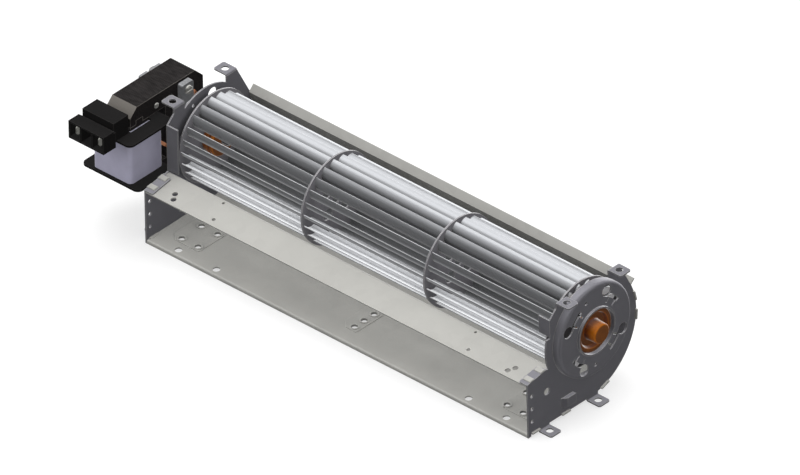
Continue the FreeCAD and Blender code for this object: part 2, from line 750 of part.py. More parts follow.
def dish(radius):
    """The pressed dish as its outer drum and the hollow behind it."""
    drum = rod(radius, PLATE_IN, DISH_OUT)
    drum = drum.makeFillet(DISH_ROUND, [edge for edge in drum.Edges if edge.BoundBox.XMin > DISH_OUT - 1e-6])
    hollow = rod(radius - SHEET, PLATE_IN - SHEET, DISH_IN)
    hollow = hollow.makeFillet(DISH_ROUND - SHEET / 2,
                               [edge for edge in hollow.Edges if edge.BoundBox.XMin > DISH_IN - 1e-6])
    return drum, hollow


def end_plate(bulge, rim, wing_bottom, dish_radius, more_pieces, more_cuts):
    sheet = plate_outline(bulge, rim).extrude(Vector(SHEET, 0, 0))
    drum, hollow = dish(dish_radius)
    shelf, pocket = lance()
    pieces = [drum, ledge(), wing(wing_bottom), shelf] + more_pieces
    pieces += [top_tab(y) for y in (FRONT_TAB_Y, REAR_TAB_Y)]
    pieces += [foot(y) for y in (FRONT_FOOT_Y, REAR_FOOT_Y)]
    cuts = [hollow, pocket] + more_cuts
    for z in SIDE_HOLE_ZS:
        cuts.append(rod(SIDE_HOLE_RADIUS, PLATE_IN, PLATE_OUT, MOUTH_Y + SIDE_HOLE_INSET, z))
    cuts.append(rod(LOCATOR_RADIUS, PLATE_IN, PLATE_OUT, LOCATOR_Y, LOCATOR_Z))
    cuts += lock_blocks(PLATE_OUT, SHEET + FIT, LOCK_WIDTH + 2 * FIT, 2 * SHEET)
    return sheet.fuse(pieces).cut(cuts).removeSplitter()


def bearing_end_plate():
    """The plate with the wide dish, its four bayonet windows and the collar for the rubber mount."""
    cuts = [rod(COLLAR_RADIUS - SHEET, PLATE_OUT, COLLAR_END)]
    for angle in WINDOW_ANGLES:
        cuts += bayonet_window(angle)
    cuts += round_holes(DISH_HOLE_REACH, DISH_HOLE_ANGLES, PLATE_OUT, DISH_OUT)
    collar = rod(COLLAR_RADIUS, DISH_IN, COLLAR_END)
    return end_plate(True, DISH_RADIUS - SHEET / 2, WING_BOTTOM, DISH_RADIUS, [collar], cuts)


def motor_end_plate():
    """The other end, pierced for the motor's spigot and its screws."""
    cuts = [rod(SPIGOT_RADIUS + FIT, PLATE_OUT, DISH_OUT)]
    for angle in MOTOR_EYE_ANGLES:
        cuts += motor_window(angle)
    cuts += round_holes(MOTOR_HOLE_REACH, MOTOR_HOLE_ANGLES, PLATE_IN, PLATE_OUT)
    cuts += [rod(MOUNT_SCREW_RADIUS + FIT, DISH_IN, DISH_OUT, y, z) for y, z in mount_screw_spots()]
    return mirrored(end_plate(False, MOTOR_RIM_RADIUS, MOTOR_WING_BOTTOM, MOTOR_DISH_RADIUS, [], cuts))


# Scroll sheet and tongue panel

def rolled_wall():
    """The arc behind the impeller and the lip turned out at its top."""
    inner = SCROLL_RADIUS - SHEET
    wall = sector(inner, SCROLL_RADIUS, -90.0, LIP_ANGLE, -SHEET_END, SHEET_END)
    lip = box(-SHEET_END, SHEET_END, 0, LIP_LENGTH, -SHEET, 0)
    lip.rotate(Vector(0, 0, 0), Vector(1, 0, 0), LIP_SLOPE_ANGLE)
    lip.translate(Vector(0, *polar(inner, LIP_ANGLE)))
    roll = wall.fuse([lip])
    roll.translate(Vector(0, SCROLL_Y, SCROLL_Z))
    return roll


def floor_strip():
    """The flat floor, which falls a little to the mouth and folds down at its edge."""
    level = FLOOR_TOP - SHEET / 2
    front = MOUTH_Y + SHEET / 2
    path = [(SCROLL_Y, level, 0), (FLOOR_BREAK_Y, level, 0), (front, level - FLOOR_FALL, SHEET / 2 + BEND),
            (front, BASE_Z, 0)]
    return bent_strip(path, SHEET, on_yz(-SHEET_END), Vector(2 * SHEET_END, 0, 0))


def floor_pads():
    """Pressed pads as (left edge, right edge, hole places)."""
    left = -HALF_SPAN + SIDE_PAD_INSET
    side_holes = [(-HALF_SPAN + inset, y) for inset in SIDE_HOLE_INSETS for y in SIDE_HOLE_YS]
    centre_holes = [(CENTRE_HOLE_X, y) for y in CENTRE_HOLE_YS]
    return [(left, left + SIDE_PAD_WIDTH, side_holes),
            (CENTRE_PAD_LEFT, CENTRE_PAD_RIGHT, centre_holes),
            (-left - SIDE_PAD_WIDTH, -left, [(-x, y) for x, y in side_holes])]


def scroll_sheet():
    pieces = [floor_strip()]
    cuts = []
    for left, right, holes in floor_pads():
        corner = PAD_FRONT + PAD_CORNER
        outline = [(left, corner, PAD_ROUND), (left + PAD_CORNER, PAD_FRONT, PAD_ROUND),
                   (right, PAD_FRONT, PAD_ROUND), (right, PAD_BACK, PAD_ROUND), (left, PAD_BACK, PAD_ROUND)]
        pieces.append(flat_plate(outline, on_xy(FLOOR_TOP - SHEET / 2), Vector(0, 0, SHEET / 2 + PAD_RISE)))
        inset = [(left + SHEET, corner, 0), (left + PAD_CORNER, PAD_FRONT + SHEET, 0),
                 (right - SHEET, PAD_FRONT + SHEET, 0), (right - SHEET, PAD_BACK - SHEET, 0),
                 (left + SHEET, PAD_BACK - SHEET, 0)]
        cuts.append(flat_plate(inset, on_xy(FLOOR_BOTTOM - FLOOR_FALL), Vector(0, 0, FLOOR_FALL + PAD_RISE)))
        for x, y in holes:
            top = FLOOR_TOP + PAD_RISE + PAD_HOLE_RIM
            pieces.append(post(PAD_HOLE_RADIUS + PAD_HOLE_WALL, x, y, FLOOR_TOP, top))
            cuts.append(post(PAD_HOLE_RADIUS, x, y, BASE_Z, top))
    for inset in DRAIN_INSETS:
        for side in (1, -1):
            cuts.append(post(DRAIN_RADIUS, side * (HALF_SPAN - inset), MOUTH_Y + DRAIN_BACK, BASE_Z, FLOOR_TOP))
    tabs = lock_blocks(PLATE_OUT + LOCK_STICKOUT, SHEET, LOCK_WIDTH, 0)
    tabs += [mirrored(tab) for tab in tabs]
    return rolled_wall().fuse(pieces + tabs).cut(cuts).removeSplitter()


def tongue_panel():
    """The top of the outlet: a gently rising panel that ends in the down-turned tongue."""
    half = SHEET / 2
    back = PANEL_BACK_Z - half
    path = [(MOUTH_Y, PANEL_FRONT_Z - half, 0), (PANEL_BACK_Y, back, TONGUE_BEND),
            (PANEL_BACK_Y + TONGUE_LEAN, back - TONGUE_DROP, 0)]
    panel = bent_strip(path, SHEET, on_yz(-SHEET_END), Vector(2 * SHEET_END, 0, 0))
    holes = []
    for inset, rearward, radius in PANEL_END_HOLES:
        for side in (1, -1):
            x = side * (HALF_SPAN - inset)
            holes.append(post(radius, x, MOUTH_Y + rearward, PANEL_FRONT_Z - 2 * SHEET, PANEL_BACK_Z))
    left, right = PANEL_REAR_HOLE_INSETS
    for x in (left - HALF_SPAN, HALF_SPAN - right):
        y = PANEL_BACK_Y - PANEL_REAR_HOLE_BACK
        holes.append(post(PANEL_REAR_HOLE_RADIUS, x, y, PANEL_FRONT_Z - 2 * SHEET, PANEL_BACK_Z))
    pegs = []
    for y in PEG_YS:
        x0 = PLATE_IN - PEG_LENGTH
        seat = SHEET + TOUCH
        top = seat + PEG_HEAD_RISE
        peg = box(x0, x0 + PEG_LENGTH - 2 * FIT, y - PEG_WIDTH / 2, y + PEG_WIDTH / 2, -half, seat)
        head = box(x0, PLATE_OUT, y - PEG_HEAD_WIDTH / 2, y + PEG_HEAD_WIDTH / 2, seat, top)
        head = head.makeChamfer(PEG_HEAD_BEVEL, [edge for edge in head.Edges if edge.BoundBox.ZMin > top - 1e-6])
        pegs.append(laid_on_panel(peg.fuse([head])))
    pegs += [mirrored(peg) for peg in pegs]
    return panel.fuse(pegs).cut(holes).removeSplitter()


# Bearing end

def bearing_rubber_mount():
    """The soft ring, web and closed cap that carry the sleeve bearing in the plate's collar."""
    seat = COLLAR_RADIUS - SHEET - TOUCH
    lip_in = DISH_IN - RUBBER_LIP
    ring_face = DISH_OUT - RUBBER_RING_DROP
    web_out = DISH_OUT - RUBBER_WEB_DROP
    web_in = web_out - RUBBER_WEB
    profile = [
        (lip_in, seat + RUBBER_LIP_WIDTH, 0),
        (DISH_IN - TOUCH, seat + RUBBER_LIP_WIDTH, 0),
        (DISH_IN - TOUCH, seat, 0),
        (ring_face, seat, 1.2),
        (ring_face, RUBBER_RING_RADIUS, 0.8),
        (web_out, RUBBER_RING_RADIUS - 1.2, 0.8),
        (web_out, RUBBER_HUB_RADIUS + 0.4, 1.0),
        (RUBBER_END, RUBBER_HUB_RADIUS, 1.4),
        (RUBBER_END, 0, 0),
        (RUBBER_END - RUBBER_CAP, 0, 0),
        (RUBBER_END - RUBBER_CAP, BEARING_RADIUS, 0),
        (web_in, BEARING_RADIUS, 0),
        (web_in, RUBBER_RING_RADIUS - 0.5, 0),
        (lip_in, RUBBER_RING_RADIUS + 0.8, 0),
    ]
    return turned(profile)


def sleeve_bearing():
    x1 = RUBBER_END - RUBBER_CAP
    bore = STUB_RADIUS + RUNNING_GAP
    x0 = x1 - BEARING_LENGTH
    profile = [
        (x0, bore + BEARING_BEVEL, 0),
        (x0, BEARING_RADIUS - BEARING_BEVEL, 0),
        (x0 + BEARING_BEVEL, BEARING_RADIUS, 0),
        (x1, BEARING_RADIUS, 0),
        (x1, bore, 0),
        (x0 + BEARING_BEVEL, bore, 0),
    ]
    return turned(profile)


# Motor

def stator_laminations():
    """The C-shaped stack: two limbs joined by the pole block round the bore."""
    high, low = STACK_HALF_HEIGHT, WINDOW_HALF
    mid = CORE_TONGUE / 2 + TOUCH
    rise = WINDOW_HALF + CORE_TONGUE_RISE + TOUCH
    upper = [(POLE_FRONT, low), (CORE_MIDDLE + mid, low), (CORE_MIDDLE + mid, rise),
             (CORE_MIDDLE - mid, rise), (CORE_MIDDLE - mid, low), (STACK_FRONT, low),
             (STACK_FRONT, high - LIMB_BEVEL), (STACK_FRONT + LIMB_BEVEL, high)]
    corners = [(y, z, 0) for y, z in upper]
    for z in (high, high - STACK_BEVEL, STACK_BEVEL - high, -high):
        y = STACK_BACK - STACK_BEVEL if abs(z) == high else STACK_BACK
        corners.append((y, z, STACK_ROUND))
    corners += [(y, -z, 0) for y, z in upper[::-1]]
    stack = flat_plate(corners, on_yz(STACK_BACK_FACE), Vector(STACK_THICK, 0, 0))
    cuts = [rod(BORE_RADIUS, STACK_BACK_FACE, STACK_FACE)]
    reach = BORE_RADIUS + POLE_GAP_REACH
    cuts.append(box(STACK_BACK_FACE, STACK_FACE, -reach, reach, -POLE_GAP / 2, POLE_GAP / 2))
    for side in (1, -1):
        cuts.append(rod(STACK_RIVET_RADIUS, STACK_BACK_FACE, STACK_FACE, STACK_RIVET_Y, side * STACK_RIVET_Z))
    cuts += bridge_screw_holes(STACK_BACK_FACE, STACK_FACE)
    for legs in RING_LEGS:
        cuts += ring_holes(legs)
    return stack.cut(cuts).removeSplitter()


def ring_holes(legs):
    """The two square holes that the legs of a shading ring pass through."""
    (y0, z0), (y1, z1) = legs
    half = RING_SECTION / 2 + FIT
    holes = []
    for y, z in legs:
        hole = box(STACK_BACK_FACE, STACK_FACE, -half, half, -half, half)
        hole.rotate(Vector(0, 0, 0), Vector(1, 0, 0), math.degrees(math.atan2(z1 - z0, y1 - y0)))
        hole.translate(Vector(0, y, z))
        holes.append(hole)
    return holes


def shading_ring(index):
    """A closed copper loop round one part of a pole."""
    (y0, z0), (y1, z1) = RING_LEGS[index]
    length = math.hypot(y1 - y0, z1 - z0)
    half = RING_SECTION / 2
    x0, x1 = STACK_BACK_FACE - FIT - RING_SECTION, STACK_FACE + FIT + RING_SECTION
    corners = [(x, y, RING_ROUND) for x, y in
               ((x0, -half), (x1, -half), (x1, length + half), (x0, length + half))]
    loop = flat_plate(corners, on_xy(-half), Vector(0, 0, RING_SECTION))
    loop = loop.cut(box(x0 + RING_SECTION, x1 - RING_SECTION, half, length - half, -half, half))
    loop.rotate(Vector(0, 0, 0), Vector(1, 0, 0), math.degrees(math.atan2(z1 - z0, y1 - y0)))
    loop.translate(Vector(0, y0, z0))
    return loop


def coil_core():
    """The bar of the stack that the bobbin slides over, keyed into both limbs."""
    bar = box(STACK_BACK_FACE, STACK_FACE, STACK_FRONT, STACK_FRONT + CORE_WIDTH,
              TOUCH - WINDOW_HALF, WINDOW_HALF - TOUCH)
    half = CORE_TONGUE / 2
    rise = WINDOW_HALF + CORE_TONGUE_RISE
    return bar.fuse([box(STACK_BACK_FACE, STACK_FACE, CORE_MIDDLE - half, CORE_MIDDLE + half, -rise, rise)])


def stack_rivets():
    rivets = []
    front, back = STACK_FACE + RIVET_HEAD_RISE, STACK_BACK_FACE - RIVET_HEAD_RISE
    for side in (1, -1):
        z = side * STACK_RIVET_Z
        shank = rod(STACK_RIVET_RADIUS, STACK_BACK_FACE, STACK_FACE, STACK_RIVET_Y, z)
        heads = [rod(RIVET_HEAD_RADIUS, STACK_FACE, front, STACK_RIVET_Y, z),
                 rod(RIVET_HEAD_RADIUS, back, STACK_BACK_FACE, STACK_RIVET_Y, z)]
        rivet = shank.fuse(heads)
        rims = [edge for edge in rivet.Edges if len(edge.Vertexes) == 1 and
                (edge.BoundBox.XMin > front - 1e-6 or edge.BoundBox.XMax < back + 1e-6)]
        rivets.append(rivet.makeChamfer(RIVET_HEAD_BEVEL, rims))
    return Part.makeCompound(rivets)


def coil_bobbin():
    """The spool on the core: a square tube between two flanges, with the connector shelf."""
    x0, x1 = STACK_BACK_FACE - TOUCH, STACK_FACE + TOUCH
    y0, y1 = STACK_FRONT - TOUCH, STACK_FRONT + CORE_WIDTH + TOUCH
    wall = BOBBIN_WALL
    spool = box(x0 - wall, x1 + wall, y0 - wall, y1 + wall, -BOBBIN_TOP, BOBBIN_TOP)
    right = STACK_FACE + FLANGE_OVERHANG_X
    flanges = []
    for base, front, overhang in ((-BOBBIN_TOP, FLANGE_FRONT, FLANGE_OVERHANG_X),
                                  (BOBBIN_TOP - FLANGE_THICK, SHELF_FRONT, TOP_FLANGE_OVERHANG)):
        left = STACK_BACK_FACE - overhang
        corners = [(x, y, FLANGE_ROUND) for x, y in
                   ((left, front), (right, front), (right, FLANGE_BACK), (left, FLANGE_BACK))]
        flanges.append(flat_plate(corners, on_xy(base), Vector(0, 0, FLANGE_THICK)))
    cuts = [box(x0, x1, y0, y1, -BOBBIN_TOP, BOBBIN_TOP)]
    cuts.append(box(x1, x1 + FLANGE_SLOT_WIDTH, FLANGE_SLOT_FRONT, FLANGE_SLOT_BACK,
                    BOBBIN_TOP - FLANGE_THICK, BOBBIN_TOP))
    return spool.fuse(flanges).cut(cuts)


def coil_winding():
    """The wound coil under its tape, with rounded corners."""
    top = BOBBIN_TOP - FLANGE_THICK
    left, right = STACK_BACK_FACE - WINDING_BUILD_X, STACK_FACE + WINDING_BUILD_X
    front, back = STACK_FRONT - WINDING_BUILD_Y, STACK_FRONT + CORE_WIDTH + WINDING_BUILD_Y
    corners = [(x, y, WINDING_ROUND) for x, y in ((left, front), (right, front), (right, back), (left, back))]
    block = flat_plate(corners, on_xy(-top), Vector(0, 0, 2 * top))
    gap = TOUCH + BOBBIN_WALL
    return block.cut(box(STACK_BACK_FACE - gap, STACK_FACE + gap, STACK_FRONT - gap,
                         STACK_FRONT + CORE_WIDTH + gap, -top, top))


def cavity_left(index):
    return STACK_MIDDLE - PLUG_WIDTH / 2 + CAVITY_WALL + index * (CAVITY_WIDTH + CAVITY_WALL)


def connector_housing():
    """The moulded socket on the bobbin's shelf: three cavities in front, a hood behind."""
    half, hood = PLUG_WIDTH / 2, HOOD_WIDTH / 2
    front = box(STACK_MIDDLE - half, STACK_MIDDLE + half, PLUG_FRONT, PLUG_BACK, PLUG_BOTTOM, PLUG_TOP)
    back = box(STACK_MIDDLE - hood, STACK_MIDDLE + hood, PLUG_BACK, HOOD_BACK, BOBBIN_TOP, HOOD_TOP)
    uprights = [edge for edge in back.Edges if edge.BoundBox.YMin > HOOD_BACK - 1e-6]
    body = front.fuse([back.makeChamfer(HOOD_BEVEL, uprights)])
    cuts = []
    for index in range(CAVITY_COUNT):
        x0 = cavity_left(index)
        cuts.append(box(x0, x0 + CAVITY_WIDTH, PLUG_FRONT, PLUG_FRONT + CAVITY_DEPTH,
                        PLUG_BOTTOM + CAVITY_WALL, PLUG_TOP - CAVITY_WALL))
    cuts.append(box(STACK_MIDDLE - half, STACK_MIDDLE + half, PLUG_BACK - GROOVE_WIDTH, PLUG_BACK,
                    PLUG_TOP - GROOVE_DEPTH, PLUG_TOP))
    for index in range(2):
        cuts.append(terminal_blade(index, TOUCH))
    return body.cut(cuts).removeSplitter()


def terminal_x(index):
    """The outer cavities hold a terminal each. The middle one is left empty."""
    return cavity_left(index * (CAVITY_COUNT - 1)) + CAVITY_WIDTH / 2 + TERMINAL_OFFSET


def terminal_blade(index, spread):
    x = terminal_x(index)
    half = TERMINAL_THICK / 2 + spread
    tall = TERMINAL_WIDTH / 2 + spread
    back = TERMINAL_FRONT + TERMINAL_LENGTH
    return box(x - half, x + half, TERMINAL_FRONT - spread, back + spread, PLUG_MIDDLE_Z - tall, PLUG_MIDDLE_Z + tall)


def terminal_tab(index):
    """A flat blade terminal with a bevelled tip and a small hole."""
    strip = terminal_blade(index, 0.0)
    tip = [edge for edge in strip.Edges
           if edge.BoundBox.YMax < TERMINAL_FRONT + 1e-6 and edge.BoundBox.ZLength < 1e-6]
    strip = strip.makeChamfer(TERMINAL_BEVEL, tip)
    x = terminal_x(index)
    return strip.cut(rod(TERMINAL_HOLE_RADIUS, x - TERMINAL_THICK, x + TERMINAL_THICK,
                         TERMINAL_FRONT + TERMINAL_HOLE_BACK, PLUG_MIDDLE_Z))


def bridge_bar(x0, x1):
    """A straight bar with rounded corners, as seen along the axis."""
    half = BRIDGE_WIDTH / 2
    corners = [(y, z, BRIDGE_ROUND) for y, z in
               ((-half, -BRIDGE_TOP), (half, -BRIDGE_TOP), (half, BRIDGE_TOP), (-half, BRIDGE_TOP))]
    return flat_plate(corners, on_yz(x0), Vector(x1 - x0, 0, 0))


def bridge_screw_holes(x0, x1):
    return [rod(BRIDGE_SCREW_RADIUS + FIT, x0, x1, 0, side * BRIDGE_SCREW_Z) for side in (1, -1)]


def mount_screw_spots():
    return [polar(MOUNT_SCREW_REACH, 90 + 360.0 * index / MOUNT_SCREW_COUNT) for index in range(MOUNT_SCREW_COUNT)]


def front_bearing_bridge():
    """The bearing bridge on the plate side, with the flange that holds the motor on the plate."""
    plate = -DISH_OUT
    spigot_end = plate + SPIGOT_RISE
    pieces = [rod(BOSS_RADIUS, STACK_FACE + BRIDGE_RECESS, plate),
              rod(FLANGE_RADIUS, plate - MOUNT_FLANGE, plate),
              rod(SPIGOT_RADIUS, plate, spigot_end)]
    cuts = [rod(BORE_RADIUS, STACK_FACE, STACK_FACE + BRIDGE_RECESS),
            rod(SHAFT_RADIUS + SHAFT_CLEARANCE, STACK_FACE, spigot_end),
            rod(MOTOR_BUSH_RADIUS, FRONT_BUSH_START, spigot_end)]
    cuts += bridge_screw_holes(STACK_FACE, BRIDGE_FACE)
    for y, z in mount_screw_spots():
        pieces.append(rod(MOUNT_PILLAR_RADIUS, BRIDGE_FACE, plate, y, z))
        cuts.append(rod(MOUNT_SCREW_RADIUS, BRIDGE_FACE + THREAD_END, plate, y, z))
    return bridge_bar(STACK_FACE, BRIDGE_FACE).fuse(pieces).cut(cuts).removeSplitter()


def rear_bearing_bridge():
    """The bridge on the far side, with a spring ear beside each foot."""
    face = REAR_BRIDGE_FACE
    pieces = [rod(BOSS_RADIUS, REAR_BOSS_FACE, STACK_BACK_FACE - BRIDGE_RECESS)]
    corners = [(REAR_EAR_FRONT, REAR_EAR_ROOT, SHEET), (0, REAR_EAR_ROOT, 0), (0, REAR_EAR_ROOT + 2 * SHEET, 0),
               (REAR_EAR_BACK, REAR_EAR_ROOT + 2 * SHEET, 0), (REAR_EAR_BACK, BRIDGE_TOP, SHEET),
               (REAR_EAR_FRONT, BRIDGE_TOP, SHEET)]
    for side in (1, -1):
        ear = [(y, side * z, round_radius) for y, z, round_radius in corners]
        pieces.append(flat_plate(ear, on_yz(face), Vector(REAR_BRIDGE_THICK, 0, 0)))
    cuts = [rod(BORE_RADIUS, STACK_BACK_FACE - BRIDGE_RECESS, STACK_BACK_FACE),
            rod(MOTOR_BUSH_RADIUS, REAR_BOSS_FACE + REAR_BOSS_CAP, STACK_BACK_FACE)]
    cuts += bridge_screw_holes(face, STACK_BACK_FACE)
    return bridge_bar(face, STACK_BACK_FACE).fuse(pieces).cut(cuts).removeSplitter()


def motor_bush(x0, x1):
    bore = SHAFT_RADIUS + RUNNING_GAP
    return turned([(x0, bore, 0), (x0, MOTOR_BUSH_RADIUS, 0), (x1, MOTOR_BUSH_RADIUS, 0), (x1, bore, 0)])


def front_motor_bush():
    return motor_bush(FRONT_BUSH_START, FRONT_BUSH_START + MOTOR_BUSH_LENGTH)


def rear_motor_bush():
    back = REAR_BOSS_FACE + REAR_BOSS_CAP
    washer = STACK_BACK_FACE - END_RING_RISE - WASHER_THICK
    return motor_bush(back, min(washer - FIT, back + MOTOR_BUSH_LENGTH))


def slotted_screw(radius, tip, face, y, z):
    """A screw with a bevelled, slotted head that sits on a face and points away from the bearing end."""
    top = face + SCREW_HEAD_RISE
    head = rod(SCREW_HEAD_RADIUS, face, top, y, z)
    head = head.makeChamfer(SCREW_HEAD_BEVEL, [edge for edge in head.Edges if edge.BoundBox.XMin > top - 1e-6])
    half = SCREW_SLOT_WIDTH / 2
    slot = box(top - SCREW_SLOT_WIDTH, top, y - SCREW_HEAD_RADIUS, y + SCREW_HEAD_RADIUS, z - half, z + half)
    return head.cut(slot).fuse([rod(radius, tip, face, y, z)])


def bridge_screws():
    tip = REAR_BRIDGE_FACE - NUT_THICK - SCREW_TAIL
    screws = [slotted_screw(BRIDGE_SCREW_RADIUS, tip, BRIDGE_FACE, 0, side * BRIDGE_SCREW_Z) for side in (1, -1)]
    return Part.makeCompound(screws)


def bridge_nuts():
    nuts = []
    x0 = REAR_BRIDGE_FACE - NUT_THICK
    for side in (1, -1):
        z = side * BRIDGE_SCREW_Z
        corners = [polar(NUT_ACROSS / math.sqrt(3), 60 * turn, 0, z) + (0,) for turn in range(6)]
        nut = flat_plate(corners, on_yz(x0), Vector(NUT_THICK, 0, 0))
        nuts.append(nut.cut(rod(BRIDGE_SCREW_RADIUS, x0, REAR_BRIDGE_FACE, 0, z)))
    return Part.makeCompound(nuts)


def motor_mount_screws():
    tip = BRIDGE_FACE + THREAD_END + SHAFT_CLEARANCE
    screws = [slotted_screw(MOUNT_SCREW_RADIUS, tip, -DISH_IN, y, z) for y, z in mount_screw_spots()]
    return Part.makeCompound(screws)


def all_pieces():
    pieces = {
        "scroll_sheet": scroll_sheet(),
        "tongue_panel": tongue_panel(),
        "motor_end_plate": motor_end_plate(),
        "bearing_end_plate": bearing_end_plate(),
        "bearing_rubber_mount": bearing_rubber_mount(),
        "sleeve_bearing": sleeve_bearing(),
        "stator_laminations": stator_laminations(),
        "coil_core": coil_core(),
        "stack_rivets": stack_rivets(),
        "coil_bobbin": coil_bobbin(),
        "coil_winding": coil_winding(),
        "connector_housing": connector_housing(),
        "front_bearing_bridge": front_bearing_bridge(),
        "rear_bearing_bridge": rear_bearing_bridge(),
        "front_motor_bush": front_motor_bush(),
        "rear_motor_bush": rear_motor_bush(),
        "bridge_screws": bridge_screws(),
        "bridge_nuts": bridge_nuts(),
        "motor_mount_screws": motor_mount_screws(),
        "shaft_coupling": shaft_coupling(),
        "bearing_hub": bearing_hub(),
        "stub_shaft": stub_shaft(),
        "motor_shaft": motor_shaft(),
        "motor_rotor": motor_rotor(),
        "thrust_washers": thrust_washers(),
    }
    for index in range(2):
        pieces[f"shading_ring_{index + 1}"] = shading_ring(index)
        pieces[f"terminal_tab_{index + 1}"] = terminal_tab(index)
    for index in range(SECTIONS + 1):
        pieces[f"impeller_disc_{index + 1}"] = disc(index)
    for index in range(BLADE_COUNT):
        pieces[f"blade_{index + 1:02d}"] = blade(index)
    return pieces


os.makedirs("parts", exist_ok=True)
for name, piece in all_pieces().items():
    piece.translate(Vector(0, SHAFT_Y, SHAFT_Z))
    piece.exportStep(f"parts/{name}.step")
    print(name, "solids", len(piece.Solids), "valid", piece.isValid(), "volume", round(piece.Volume, 1))
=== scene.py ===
"""Cross flow fan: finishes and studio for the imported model."""

import json
import math

import bmesh
import bpy
from mathutils import Matrix, Vector

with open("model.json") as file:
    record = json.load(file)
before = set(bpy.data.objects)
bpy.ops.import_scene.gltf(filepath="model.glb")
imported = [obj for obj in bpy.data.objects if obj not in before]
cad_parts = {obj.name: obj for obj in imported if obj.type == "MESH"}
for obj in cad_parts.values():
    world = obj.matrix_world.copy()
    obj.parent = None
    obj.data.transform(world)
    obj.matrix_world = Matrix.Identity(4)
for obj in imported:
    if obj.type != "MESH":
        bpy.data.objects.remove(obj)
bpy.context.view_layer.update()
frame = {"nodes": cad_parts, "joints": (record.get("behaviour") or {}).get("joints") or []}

bl_info = {
    "name": "Cross flow fan",
    "version": (1, 0, 0),
    "blender": (4, 5, 0),
    "location": "View3D > Sidebar > Fan",
    "description": "Finishes and studio for a cross flow fan",
    "category": "Object",
}

MM = 0.001
AXIS = Vector(frame["joints"][0]["pos_m"])
FRAME_SHIFT = Vector((2.2 * MM, 0.0, -5.1 * MM))   # from the axis to the middle of the picture
CAMERA_DISTANCE = 2.0
FLOOR_HALF_WIDTH = 30.0
FLOOR_DROP = 0.1 * MM   # keeps the floor clear of the feet
SHADE_REACH = 45 * MM   # how far off a neighbour still adds painted shade to a metal surface
NOISE_LOW, NOISE_HIGH = 0.3, 0.7   # where most values of a noise texture lie

# The room that the metal mirrors: places from 0, opposite BRIGHT_SIDE, to 1, each with its brightness.
BRIGHT_SIDE = (-0.75, 0.55, 0.35)
ROOM_STEPS = ((0.04, 0.02), (0.1, 0.35), (0.19, 0.35), (0.25, 0.08), (0.31, 0.2), (0.37, 0.26), (0.42, 0.03),
              (0.48, 0.02), (0.55, 0.24), (0.69, 0.5), (0.86, 0.66), (0.93, 0.52), (0.985, 0.2))

# Each lamp's name, strength, spread in degrees and the direction that it comes from. Then whether it shows in
# gloss alone, or lights surfaces alone, and whether it throws a shadow.
LAMPS = (
    ("matt_top", 0.45, 60.0, (-0.35, 0.25, 0.9), False, False),
    ("matt_high", 1.3, 40.0, (-0.2, 0.1, 0.95), False, True),
    ("matt_front", 1.2, 60.0, (-0.3, -0.85, 0.3), False, True),
    ("matt_side", 0.75, 60.0, (0.85, -0.1, 0.3), False, False),
    ("matt_back", 1.6, 60.0, (-0.2, 0.9, 0.3), False, True),
    ("gloss_top", 0.5, 60.0, (-0.55, 0.12, 0.8), True, False),
    ("gloss_back", 0.9, 60.0, (-0.57, 0.75, -0.1), True, False),
)


def linear(hex_colour):
    """An sRGB hex colour as linear red, green, blue and alpha."""
    parts = [int(hex_colour[start:start + 2], 16) / 255 for start in (0, 2, 4)]
    return tuple(c / 12.92 if c <= 0.04045 else ((c + 0.055) / 1.055) ** 2.4 for c in parts) + (1.0,)


def colour_property(name, description, hex_colour):
    return bpy.props.FloatVectorProperty(
        name=name, description=description, subtype="COLOR", size=4, min=0.0, max=1.0,
        default=linear(hex_colour))


def length_property(name, description, millimetres):
    return bpy.props.FloatProperty(
        name=name, description=description, subtype="DISTANCE", unit="LENGTH", min=0.0,
        default=millimetres * MM)


def angle_property(name, description, degrees):
    return bpy.props.FloatProperty(
        name=name, description=description, subtype="ANGLE", unit="ROTATION", default=math.radians(degrees))


def strength_property(name, description, strength):
    return bpy.props.FloatProperty(name=name, description=description, min=0.0, default=strength)


class SheetSettings(bpy.types.PropertyGroup):
    """Zinc-coated sheet of the scroll, the tongue panel, the end plates and the discs."""
    rolled: colour_property("Rolled zinc", "Light sheet of the scroll and the tongue panel", "bdbcb7")
    # The pressed and disc tones are darker copies of the rolled zinc: painted shade for the broad faces that
    # look along the shaft.
    pressed: colour_property("Pressed zinc", "Darker sheet of the end plates", "929198")
    disc: colour_property("Disc", "Thin sheet of the impeller's discs", "9a989e")
    # The cut edge tone is partly bare steel and partly a painted highlight along every edge.
    edge: colour_property("Cut edge", "Bare steel at the sheared edges", "e2e1dc")
    spangle: length_property("Spangle", "Size of a zinc crystal", 6.0)
    rolling_line: length_property("Rolling line", "Spacing of the rolling lines, drawn coarse to show", 0.9)
    cloud: length_property("Zinc cloud", "Size of the cloudy tones on a large flat", 35.7)
    wear_and_highlight_width: length_property("Worn edge", "Width of the worn band along an edge", 0.35)


class ImpellerSettings(bpy.types.PropertyGroup):
    """Rolled aluminium blades."""
    blade: colour_property("Blade", "Bright rolled strip", "d4d6da")
    # Painted highlight on the folded ends; on the sheared edges partly scuff and partly painted highlight.
    scuff_and_highlight: colour_property("Scuffed aluminium", "Sheared edges and folded ends", "f4f4f6")
    roll_line: length_property("Roll line", "Spacing of the lines along a blade, drawn coarse to show", 0.7)
    edge_width: length_property("Edge width", "Width of the bright band along a sheared edge", 0.25)


